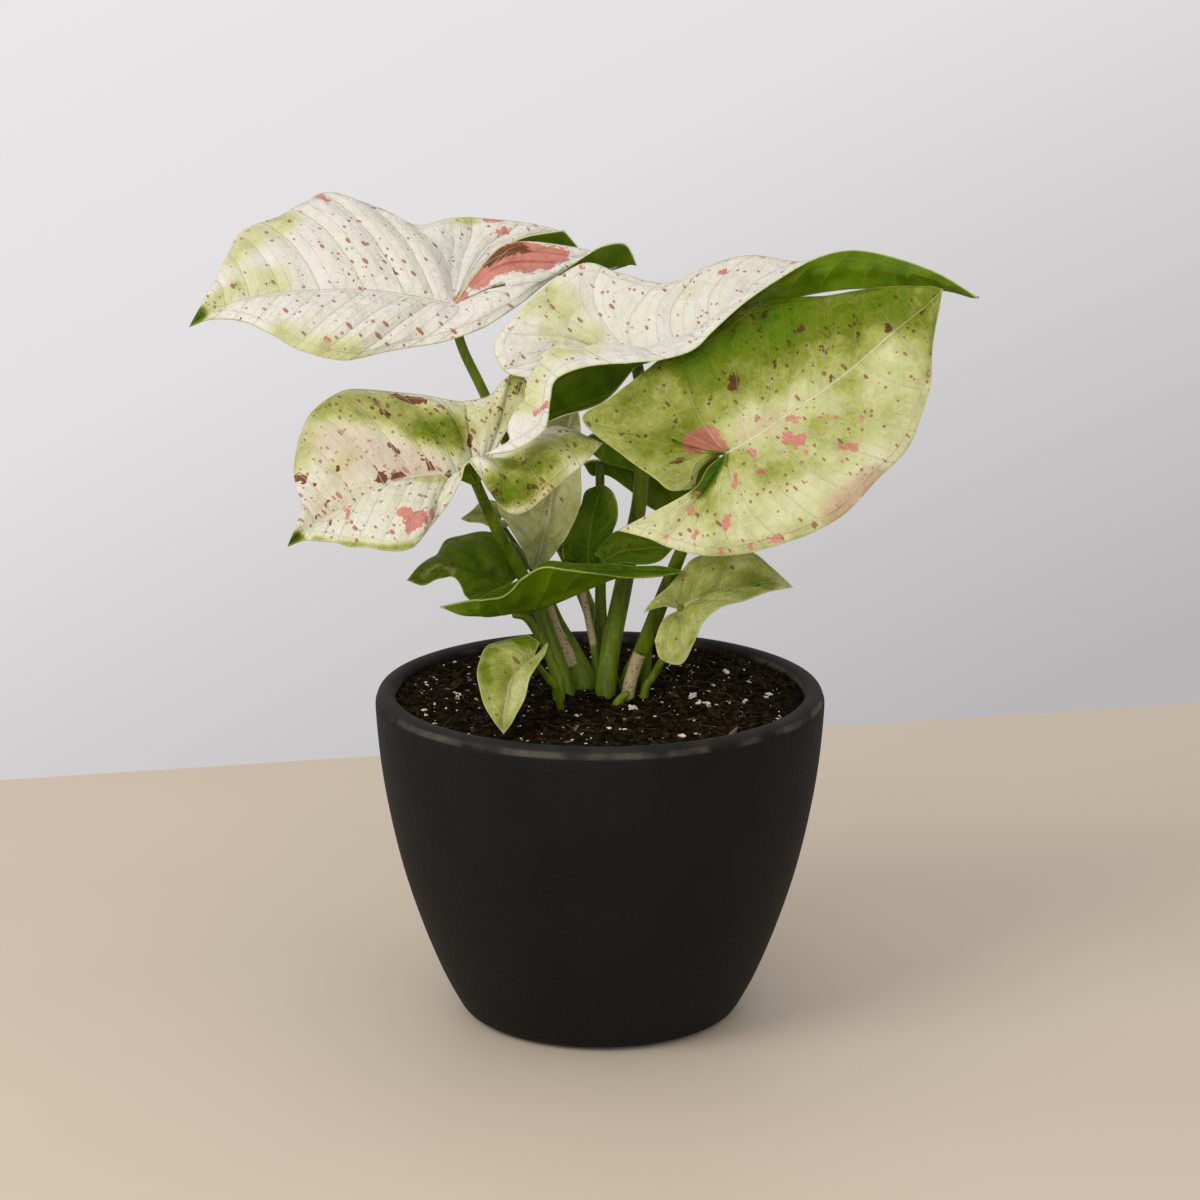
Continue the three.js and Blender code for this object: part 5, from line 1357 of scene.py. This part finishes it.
def add_corner_vectors(obj, name, *columns):
    """Gives each corner of the piece's faces three values, for its material to read."""
    attribute = obj.data.attributes.new(name, "FLOAT_VECTOR", "CORNER")
    attribute.data.foreach_set("vector", np.stack(columns, 1).astype(np.float32).reshape(-1))


def make_blade(name, materials):
    """A blade, with the values that its pattern needs at the corners of its faces."""
    leaf, looks = placed_leaf(LEAVES[name]), BLADE_LOOKS[name]
    sheet, quads, sheet_corners, fields = blade_sheet(leaf, looks["steps"], looks["veins"])
    points, rows = blade_mesh(sheet, quads, sheet_corners, fields)
    obj = make_object(f"leaf_{name}", points, [face for face, _, _ in rows], materials)
    obj.data.polygons.foreach_set("material_index", [side for _, _, side in rows])
    places = np.concatenate([place for _, place, _ in rows])
    corners = np.concatenate([face for face, _, _ in rows])
    marks = placed_marks(name, sheet, quads)
    green = looks["green"] + zone_sum(points, marks["green"])
    blush = zone_sum(points, marks["blush"])
    pink = mark_depth(points, marks["pink"])
    brown = mark_depth(points, marks["brown"])
    flecks = np.full(len(places), looks["flecks"])
    add_corner_vectors(obj, "veins", *(fields[key][places] for key in ("phase", "spacing", "from_rib")))
    add_corner_vectors(obj, "tones", green[corners], fields["from_edge"][places], flecks)
    add_corner_vectors(obj, "marks", pink[corners], brown[corners], blush[corners])
    return obj


def scattered_dots(shade, place, dots, amount):
    """Small dots in some of the cells of a cell pattern, which may be stretched along a slant."""
    inputs = {"Vector": place, "Rotation": (0, dots["turn"], 0), "Scale": dots["stretch"]}
    slanted = shade.add("ShaderNodeMapping", inputs, vector_type="TEXTURE").outputs["Vector"]
    cell = shade.cells(dots["scale"], slanted)
    picks = shade.add("ShaderNodeSeparateColor", {0: cell.outputs["Color"]}).outputs
    chosen = shade.math("LESS_THAN", picks[0], shade.math("MULTIPLY", amount, dots["share"]))
    radius = shade.ramp(shade.math("POWER", picks[1], 2.0), 0, 1, *dots["radii"])
    inside = shade.ramp(shade.math("SUBTRACT", radius, cell.outputs["Distance"]), 0, dots["soft"])
    return shade.math("MULTIPLY", chosen, inside)


def ragged(shade, depth, jag):
    """1 inside a mark and 0 outside it, with a ragged edge."""
    return shade.ramp(shade.math("ADD", depth, jag), -MARK_EDGE, MARK_EDGE)


def leaf_attributes(shade):
    """The separate values of the three attributes that every blade carries."""
    return [
        shade.add("ShaderNodeSeparateXYZ", {0: attribute(shade, name)}).outputs
        for name in ("veins", "tones", "marks")
    ]


def leaf_greenness(shade, place, green):
    """The blade's own greenness with clouds and mottling, which grow as it gets greener."""
    clouds, mottling = shade.pattern(FACE_CLOUDS, place), shade.pattern(FACE_MOTTLING, place)
    changes = shade.total((clouds, 1), (mottling, MOTTLING_SHARE))
    return shade.total((green, 1), (changes, shade.ramp(green, *CLOUDINESS)))


def with_dots(shade, place, colour, green, amount):
    """Small dots and dashes, brown on cream and dark green on green."""
    dark = shade.mix(shade.ramp(green, *DOT_GREENING), DOT_BROWN, DOT_GREEN)
    for dots in (SMALL_DOTS, DASHES):
        colour = shade.cover(colour, dark, scattered_dots(shade, place, dots, amount), dots["strength"])
    return colour


def with_marks(shade, place, colour, green, marks):
    """Blush and pink and brown marks, the marks duller where the blade is greener."""
    jag = shade.ramp(shade.cells(MARK_JAGS["scale"], place).outputs["Color"], 0, 1, *MARK_JAGS["reach"])
    shadow = shade.pattern(MARK_SHADOWS, place)
    colour = shade.cover(colour, BLUSH, marks[2], BLUSH_STRENGTH)
    dull = shade.ramp(green, *MARK_DULLING)
    pink, brown = shade.mix(dull, MARK_PINK, MARK_ROSE), shade.mix(dull, MARK_BROWN_AND_SHADE, MARK_OLIVE)
    colour = shade.mix(ragged(shade, marks[0], jag), colour, shade.mix(shadow, pink, MARK_BROWN_AND_SHADE))
    # Brown marks are the leaf's own, apart from one on leaf 01 that is painted shade of a fold
    return shade.mix(ragged(shade, marks[1], jag), colour, shade.mix(shadow, brown, MARK_DARK))


def margin_line(shade, from_edge):
    """1 along the margin, fading to 0 inside it."""
    return shade.ramp(from_edge, *MARGIN_LINE)


def blade_face():
    """Cream to deep green, with a fine net, dots and marks, and with veins and margin over them all."""
    shade = new_material("leaf_face")
    place = shade.place()
    veins, tones, marks = leaf_attributes(shade)
    green = leaf_greenness(shade, place, tones[0])
    vein = shade.mix(shade.ramp(green, *VEIN_GREENING), VEIN_COLOUR, GREEN_VEIN)
    margin = shade.mix(shade.ramp(green, *MARGIN_GREENING), MARGIN_COLOUR, GREEN_VEIN)
    net = shade.cells(NET["scale"], wobbled(shade, place), "DISTANCE_TO_EDGE").outputs["Distance"]
    net_line = shade.ramp(net, 0, NET["width"], 1, 0)
    line = vein_lines(shade, veins, tones[1])
    colour = shade.cover(shade.colours(green, FACE_STOPS), vein, net_line, NET["strength"])
    colour = with_dots(shade, place, colour, green, tones[2])
    colour = with_marks(shade, place, colour, green, marks)
    colour = shade.cover(colour, vein, line, VEIN_STRENGTH["face"])
    colour = shade.cover(colour, margin, margin_line(shade, tones[1]), MARGIN_STRENGTH["face"])
    shade.plug("Base Color", colour)
    crumple = (shade.noise(*FACE_CRUMPLE, place), FACE_RELIEF["crumple"])
    relief = shade.total(crumple, (line, FACE_RELIEF["veins"]), (net_line, FACE_RELIEF["net"]))
    shade.bump(relief, FACE_RELIEF["height"])
    shade.set(**LEAF_SHINE, **LEAF_GLOW)
    return shade.owner


def wobbled(shade, place):
    """Places shifted a little by noise, so that cell patterns lose their straight edges."""
    shift = shade.add("ShaderNodeTexNoise", {"Vector": place, "Scale": WOBBLE["scale"]}).outputs["Color"]
    inputs = {0: shift, 1: [WOBBLE["shift"]] * 3, 2: place}
    return shade.add("ShaderNodeVectorMath", inputs, operation="MULTIPLY_ADD").outputs[0]


def attribute(shade, name):
    """The three values that the piece carries under a name."""
    return shade.add("ShaderNodeAttribute", attribute_name=name, attribute_type="GEOMETRY").outputs["Vector"]


def lines_at(shade, phase, spacing, width):
    """1 where the phase is whole, fading to 0 at a width in millimetres."""
    turn = shade.math("FRACT", shade.math("ADD", phase, PHASE_SHIFT))
    distance = shade.math("MULTIPLY", shade.math("ABSOLUTE", shade.math("SUBTRACT", turn, 0.5)), spacing)
    return shade.ramp(distance, VEIN_CORE, width, 1, 0)


def vein_lines(shade, veins, from_edge):
    """How strong a vein is: most on the midrib, less on side veins, the margin's vein and finer ones."""
    phase, spacing, from_rib = veins
    side = lines_at(shade, phase, spacing, SIDE_VEIN_REACH)
    fine_phase = shade.math("MULTIPLY", phase, FINE_VEIN_PARTS)
    fine = lines_at(shade, fine_phase, shade.math("DIVIDE", spacing, FINE_VEIN_PARTS), FINE_VEIN_REACH)
    from_collective = shade.math("ABSOLUTE", shade.math("SUBTRACT", from_edge, COLLECTIVE_VEIN))
    return shade.strongest(
        shade.math("MULTIPLY", side, SIDE_VEIN_STRENGTH),
        shade.math("MULTIPLY", fine, shade.ramp(spacing, *FINE_VEIN_ROOM)),
        shade.ramp(from_collective, *COLLECTIVE_LINE),
        shade.ramp(from_rib, *MIDRIB_LINE),
    )


def blade_underside():
    """Clouded green with paler veins and margin."""
    shade = new_material("leaf_underside")
    place = shade.place()
    veins, tones, _ = leaf_attributes(shade)
    line = vein_lines(shade, veins, tones[1])
    colour = shade.colours(shade.noise(*UNDERSIDE_CLOUDS, place), UNDERSIDE_STOPS)
    colour = shade.cover(colour, LIME, line, VEIN_STRENGTH["underside"])
    colour = shade.cover(colour, MARGIN_COLOUR, margin_line(shade, tones[1]), MARGIN_STRENGTH["underside"])
    shade.plug("Base Color", colour)
    crumple = (shade.noise(*UNDERSIDE_CRUMPLE, place), UNDERSIDE_RELIEF["crumple"])
    shade.bump(shade.total((line, 1), crumple), UNDERSIDE_RELIEF["height"])
    shade.set(**LEAF_SHINE, **LEAF_GLOW)
    return shade.owner


# --- Stalks ---


def stalk_rings(route, radii, sides, steps, sheath=0.0):
    """Rings of points round a tapered stalk, kept from twisting and widened by a sheath near its root."""
    dense = along_curve(route, np.linspace(0, 1, ROUTE_SAMPLES * len(route)))
    lengths = np.concatenate([[0], np.cumsum(np.linalg.norm(np.diff(dense, axis=0), axis=1))])
    shares = np.linspace(0, 1, steps + 1)
    centres = np.stack([np.interp(shares * lengths[-1], lengths, dense[:, i]) for i in range(3)], 1)
    tangents = np.gradient(centres, axis=0)
    tangents /= np.linalg.norm(tangents, axis=1)[:, None]
    side = np.cross(tangents[0], (0, 1, 0))
    points = []
    for centre, tangent, share in zip(centres, tangents, shares):
        side = side - tangent * np.dot(side, tangent)
        side /= np.linalg.norm(side)
        other = np.cross(tangent, side)
        radius = radii[0] + (radii[1] - radii[0]) * share**STALK_TAPER
        width = radius + sheath * (1 - smooth_step(SHEATH_END[0], SHEATH_END[1], share))
        for i in range(sides):
            angle = 2 * np.pi * i / sides
            points.append(centre + width * math.cos(angle) * side + radius * math.sin(angle) * other)
    return points


def paleness(points, sides, stripe):
    """How pale a stalk is at each point: 1 in the stripe on the side that it faces, 0 elsewhere."""
    if not stripe:
        return np.zeros(len(points))
    rings = np.array(points).reshape(-1, sides, 3)
    outward = rings - rings.mean(axis=1, keepdims=True)
    outward /= np.linalg.norm(outward, axis=2, keepdims=True)
    facing = outward @ (np.array(stripe["faces"]) / np.linalg.norm(stripe["faces"]))
    soft, edge = STRIPE_SOFTNESS["side"], stripe["narrow"]
    inside = smooth_step(edge - soft, edge + soft, facing)
    shares = np.linspace(0, 1, len(rings))
    soft, (start, end) = STRIPE_SOFTNESS["ends"], stripe["shares"]
    fade = smooth_step(start - soft, start + soft, shares) * (1 - smooth_step(end - soft, end + soft, shares))
    return (inside * fade[:, None]).reshape(-1)


def make_stalk(name, material):
    """A stalk, with how pale it is at each of its points."""
    stalk = STALKS[name]
    route = placed_route(stalk)
    steps = STALK_STEPS * len(route)
    points = stalk_rings(route, stalk["radii"], STALK_SIDES, steps, stalk.get("sheath", 0))
    obj = make_object(f"stalk_{name}", points, tube_faces(steps + 1, STALK_SIDES), [material])
    pale = obj.data.attributes.new("pale", "FLOAT", "POINT")
    pale.data.foreach_set("value", paleness(points, STALK_SIDES, stalk.get("stripe")).astype(np.float32))
    return obj


def stalk_green():
    """Green with streaks along the stalks, and pale and speckled where the piece says so."""
    shade = new_material("stalk_green")
    place = shade.place()
    stretched = shade.add("ShaderNodeMapping", {"Vector": place, "Scale": STALK_STRETCH}).outputs["Vector"]
    streaks = shade.noise(*STALK_STREAKS, stretched)
    clouds = shade.noise(*STALK_CLOUDS, stretched)
    colour = shade.colours(shade.total((streaks, STREAK_SHARE), (clouds, 1 - STREAK_SHARE)), STALK_STOPS)
    pale = shade.add("ShaderNodeAttribute", attribute_name="pale", attribute_type="GEOMETRY").outputs["Fac"]
    frayed = shade.ramp(shade.total((pale, 1), (streaks, FRAY_SHARE)), *FRAYED)
    speckled_pale = shade.mix(shade.pattern(STALK_SPECKS, place), STALK_PALE, MARK_DARK)
    shade.plug("Base Color", shade.mix(frayed, colour, speckled_pale))
    shade.bump(streaks, STALK_RELIEF)
    shade.set(**STALK_SHINE)
    return shade.owner


# --- Pot ---


def make_pot(material):
    """The pot, turned from its foot up the outside, over the lip and down the inside."""
    outside = along_curve(POT_OUTSIDE, np.linspace(0, 1, POT_RINGS["outside"]))
    inside = along_curve([POT_LIP[-1], *POT_INSIDE], np.linspace(0, 1, POT_RINGS["inside"]))[1:]
    profile = [(POT_FOOT_RADIUS, 0), *outside.tolist(), *POT_LIP, *inside.tolist()]
    points, faces = lathe(profile, POT_SIDES)
    return make_object("pot_shell", points, faces, [material])


def over_heights(shade, height, levels, *strengths):
    """A change of value between two heights in millimetres."""
    return shade.ramp(height, *(level * MM for level in levels), *strengths)


def pot_black():
    """Matte black with a pebbled surface, a paler lip that is partly wear and partly painted highlight, and a
    scuffed band round its outer edge that is partly painted highlight too.
    """
    shade = new_material("pot_black")
    place = shade.place()
    height = shade.add("ShaderNodeSeparateXYZ", {0: place}).outputs["Z"]
    grains = shade.noise(*POT_GRAINS, place)
    colour = shade.colours(shade.noise(*POT_CLOUDS, place), POT_STOPS)
    colour = shade.mix(shade.ramp(grains, *GRAINS_SHOWN), colour, POT_PALE_WEAR_AND_HIGHLIGHT)
    # The lip's paler band: partly wear and partly painted highlight
    lip = over_heights(shade, height, LIP_WEAR_AND_HIGHLIGHT_HEIGHTS)
    colour = shade.cover(colour, POT_PALE_WEAR_AND_HIGHLIGHT, lip, shade.pattern(LIP_WEAR_AND_HIGHLIGHT, place))
    # The scuffed band round the lip's outer edge: partly scuffing and partly painted highlight
    start = over_heights(shade, height, SCUFF_AND_HIGHLIGHT_START_HEIGHTS)
    end = over_heights(shade, height, SCUFF_AND_HIGHLIGHT_END_HEIGHTS, 1, 0)
    band = shade.math("MULTIPLY", start, end)
    colour = shade.cover(colour, POT_SCUFF_AND_HIGHLIGHT, band, shade.pattern(SCUFFS_AND_HIGHLIGHT, place))
    shade.plug("Base Color", colour)
    pebbles = shade.noise(*POT_PEBBLES, place)
    shade.bump(shade.total((pebbles, 1), (grains, GRAINS_IN_RELIEF)), POT_RELIEF)
    shade.set(**POT_SHINE)
    return shade.owner


# --- Soil ---


def wave(x, y, turn_right, turn_back, start):
    """A wave's height at a place, from -1 to 1."""
    return math.sin(turn_right * x + turn_back * y + start)


def soil_height(x, y):
    """Height of the soil: a low mound round the stems, a heap at the back and small lumps all over."""
    radius = math.hypot(x, y)
    mound = SOIL_MOUND["height"] * math.exp(-((radius / SOIL_MOUND["spread"]) ** 2))
    from_heap = math.hypot(x - SOIL_HEAP["x"], y - SOIL_HEAP["y"])
    heap = SOIL_HEAP["height"] * math.exp(-((from_heap / SOIL_HEAP["spread"]) ** 2))
    lumps = sum(height * wave(x, y, *one) * wave(x, y, *other) for height, one, other in SOIL_LUMPS)
    return SOIL_LEVEL + mound + heap + lumps


def crumbled_height(x, y):
    """The soil's height with its fine crumbs on it."""
    shape = [COARSE_CRUMBLE[name] for name in ("smoothness", "gap", "octaves")]
    coarse = noise.fractal(Vector((x, y, 0)) * COARSE_CRUMBLE["scale"], *shape)
    fine = noise.cell(Vector((x, y, FINE_CRUMBLE["level"])) * FINE_CRUMBLE["scale"])
    return soil_height(x, y) + COARSE_CRUMBLE["height"] * coarse + FINE_CRUMBLE["height"] * fine


def soil_ring(radius):
    """Places on a circle round the pot's axis."""
    angles = [2 * math.pi * i / SOIL_SIDES for i in range(SOIL_SIDES)]
    return [(radius * math.cos(angle), radius * math.sin(angle)) for angle in angles]


def make_soil_bed(material):
    """The soil's crumbled surface from the middle to the pot, closed by a flat foot 1 mm narrower."""
    points = [(0, 0, crumbled_height(0, 0))]
    for k in range(1, SOIL_RINGS + 1):
        points += [(x, y, crumbled_height(x, y)) for x, y in soil_ring(SOIL_RADIUS * k / SOIL_RINGS)]
    points += [(x, y, SOIL_LEVEL - SOIL_DEPTH) for x, y in soil_ring(SOIL_RADIUS - 1)]
    faces = [(0, 1 + i, 1 + (i + 1) % SOIL_SIDES) for i in range(SOIL_SIDES)]
    rings = ring_faces(SOIL_RINGS + 1, SOIL_SIDES)
    faces += [(a + 1, d + 1, c + 1, b + 1) for a, b, c, d in rings]
    last = 1 + SOIL_RINGS * SOIL_SIDES
    faces.append(tuple(range(last, last + SOIL_SIDES))[::-1])
    return make_object("soil_bed", points, faces, [material])


def soil_spots(rng, scatter):
    """Random places on the soil."""
    angles = 2 * np.pi * rng.random(scatter["count"])
    radii = scatter["reach"] * np.sqrt(rng.random(scatter["count"]))
    return [(x, y, crumbled_height(x, y)) for x, y in zip(radii * np.cos(angles), radii * np.sin(angles))]


def ball(fineness):
    """Points and faces of a ball of triangles with a radius of 1."""
    mesh = bmesh.new()
    bmesh.ops.create_icosphere(mesh, subdivisions=fineness, radius=1)
    points = np.array([vertex.co for vertex in mesh.verts])
    faces = [[vertex.index for vertex in face.verts] for face in mesh.faces]
    mesh.free()
    return points, faces


def make_chunks(name, spots, sizes, scatter, fineness, rng, material):
    """Lumpy grains lying on the soil, all in one piece."""
    unit, unit_faces = ball(fineness)
    points, faces = [], []
    for spot, size in zip(spots, sizes):
        turn = np.array(Euler((*rng.normal(0, CHUNK_TILT, 2), 2 * np.pi * rng.random())).to_matrix())
        lumps = 1 + scatter["lumps"] * rng.standard_normal((len(unit), 1))
        scale = size * np.array(scatter["stretch"]) * rng.uniform(*CHUNK_VARIETY, 3)
        faces += [[len(points) * len(unit) + i for i in face] for face in unit_faces]
        points.append((unit * lumps * scale) @ turn.T + spot)
    return make_object(name, np.concatenate(points), faces, [material], smooth=False)


def make_scatter(name, scatter, fineness, material, extra=()):
    """Grains strewn on the soil, mostly small ones, and extra ones given as a reading and a radius."""
    rng = np.random.default_rng(scatter["seed"])
    spots = soil_spots(rng, scatter)
    low, high = scatter["sizes"]
    sizes = list(low + (high - low) * rng.random(len(spots)) ** 2)
    for right, down, size in extra:
        level = np.array((0, 0, SOIL_LEVEL + SOIL_MOUND["height"] / 2))
        spots.append(tuple(place_on_flat((right, down), level, np.array((0, 0, 1)))))
        sizes.append(size)
    return make_chunks(name, spots, sizes, scatter, fineness, rng, material)


def make_fibres(material):
    """Thin bent fibres lying on the soil."""
    rng = np.random.default_rng(FIBRES["seed"])
    parts, sides, steps = (FIBRE_SHAPE[name] for name in ("parts", "sides", "steps"))
    radii = (FIBRES["radius"], FIBRE_SHAPE["taper"] * FIBRES["radius"])
    points, faces = [], []
    for x, y, z in soil_spots(rng, FIBRES):
        heading, bend = 2 * np.pi * rng.random(), rng.uniform(-FIBRE_SHAPE["bend"], FIBRE_SHAPE["bend"])
        step = rng.uniform(*FIBRES["lengths"]) / parts
        route = [(x, y, z + FIBRE_SHAPE["root"])]
        for _ in range(parts):
            heading += bend / parts
            x, y = x + step * math.cos(heading), y + step * math.sin(heading)
            route.append((x, y, crumbled_height(x, y) + rng.uniform(*FIBRE_SHAPE["lift"])))
        faces += [[len(points) + i for i in face] for face in tube_faces(steps + 1, sides)]
        points += stalk_rings(route, radii, sides, steps)
    return make_object("soil_fibres", points, faces, [material])


def soil_brown(name, lightness=1.0):
    """Crumbly brown in three clouded tones."""
    shade = new_material(name)
    place = shade.place()
    stops = [(at, tuple(lightness * value for value in colour)) for at, colour in SOIL_STOPS]
    clouds = shade.noise(*SOIL_CLOUDS, place, SOIL_CLOUD_ROUGHNESS)
    shade.plug("Base Color", shade.colours(clouds, stops))
    shade.bump(shade.noise(*SOIL_GRIT, place), SOIL_RELIEF)
    shade.set(**SOIL_SHINE)
    return shade.owner


def speckled(name, base, spots, waves):
    """A dull grain colour with spots of another one, and relief that is twice as fine."""
    shade = new_material(name)
    place = shade.place()
    shade.plug("Base Color", shade.mix(shade.pattern((waves, *GRAIN_SPOTS), place), base, spots))
    shade.bump(shade.noise(2 * waves, GRAIN_DETAIL, place), GRAIN_RELIEF)
    shade.set(**GRAIN_SHINE)
    return shade.owner


def add_soil_pieces():
    """What lies on the soil: crumbs, perlite, bits of bark and fibres."""
    crumb_brown = soil_brown("soil_crumb_brown", CRUMB_LIGHTNESS)
    dress(make_scatter("soil_crumbs", CRUMBS, 1, crumb_brown), "soil")
    white = speckled("perlite_white", PERLITE_WHITE, PERLITE_CREAM, GRAIN_WAVES["perlite"])
    dress(make_scatter("perlite", PERLITE, 2, white, BIG_PERLITE), "soil")
    bark = speckled("bark_tan", BARK_TAN, SOIL_MIDDLE, GRAIN_WAVES["bark"])
    dress(make_scatter("bark_bits", BARK, 2, bark), "soil")
    tan = speckled("fibre_tan", FIBRE_TAN, SOIL_MIDDLE, GRAIN_WAVES["fibres"])
    dress(make_fibres(tan), "soil")


# --- Camera, light and stage ---


def make_camera():
    """The camera that stands where the photograph was taken from."""
    data = bpy.data.cameras.new("view")
    data.lens, data.sensor_width = CAMERA_LENS, SENSOR
    camera = bpy.data.objects.new("view", data)
    camera.location = CAMERA_PLACE
    camera.rotation_euler = (CAMERA_TILT, 0, 0)
    bpy.context.scene.collection.objects.link(camera)
    bpy.context.scene.camera = camera


def make_light(name, light):
    """A square light that points at the plant."""
    data = bpy.data.lights.new(name, "AREA")
    data.shape = "SQUARE"
    data.size, data.energy, data.color = light["size"], light["power"], light["colour"]
    obj = bpy.data.objects.new(name, data)
    obj.location = light["place"]
    obj.rotation_euler = (Vector(LIGHT_TARGET) - Vector(light["place"])).to_track_quat("-Z", "Y").to_euler()
    bpy.context.scene.collection.objects.link(obj)


def make_world():
    """A wall colour behind the scene, paler at the upper left and darkened to the lower right by painted
    shade, which lights it less than it shows.
    """
    world = bpy.data.worlds.new("studio")
    shade = Nodes(world, "BACKGROUND")
    way = shade.add("ShaderNodeTexCoord").outputs["Generated"]
    # Painted shade: the wall darkens to the right and downwards
    slant = shade.add("ShaderNodeVectorMath", {0: way, 1: WALL_SHADE_SLANT}, operation="DOT_PRODUCT")
    shade.plug("Color", shade.colours(slant.outputs["Value"], WALL_COLOURS))
    seen = shade.add("ShaderNodeLightPath").outputs["Is Camera Ray"]
    shade.plug("Strength", shade.ramp(seen, 0, 1, WALL_LIGHT, 1))
    bpy.context.scene.world = world
    bpy.context.scene.view_settings.view_transform = "Standard"


def make_floor():
    """The beige floor, whose back edge shows against the wall."""
    (x0, y0), (x1, y1) = FLOOR_BACK_EDGE
    mesh = bpy.data.meshes.new("floor")
    corners = [(-FLOOR_REACH, -FLOOR_REACH, 0), (FLOOR_REACH, -FLOOR_REACH, 0), (x1, y1, 0), (x0, y0, 0)]
    mesh.from_pydata(corners, [], [(0, 1, 2, 3)])
    floor = bpy.data.objects.new("floor", mesh)
    bpy.context.scene.collection.objects.link(floor)
    shade = new_material("floor_beige")
    darker = tuple(FLOOR_DARKENING * value for value in FLOOR_COLOUR)
    stops = list(zip(FLOOR_CLOUD_RANGE, (FLOOR_COLOUR, darker)))
    shade.plug("Base Color", shade.colours(shade.noise(*FLOOR_CLOUDS, shade.place()), stops))
    shade.set(Roughness=FLOOR_ROUGHNESS)
    mesh.materials.append(shade.owner)


def build_scene():
    """Camera, wall, floor and lights, and then every piece of the plant and its pot."""
    make_camera()
    make_world()
    make_floor()
    make_light("key", KEY_LIGHT)
    make_light("fill", FILL_LIGHT)

    dress(make_pot(pot_black()), "pot", "pot")
    dress(make_soil_bed(soil_brown("soil_brown")), "soil", "soil")
    add_soil_pieces()
    stalk = stalk_green()
    for name in STALKS:
        dress(make_stalk(name, stalk), "stalk", name)
    face, underside = blade_face(), blade_underside()
    for name in LEAVES:
        dress(make_blade(name, [face, underside]), BLADE_LOOKS[name]["slot"], f"blade_{name}")


build_scene()
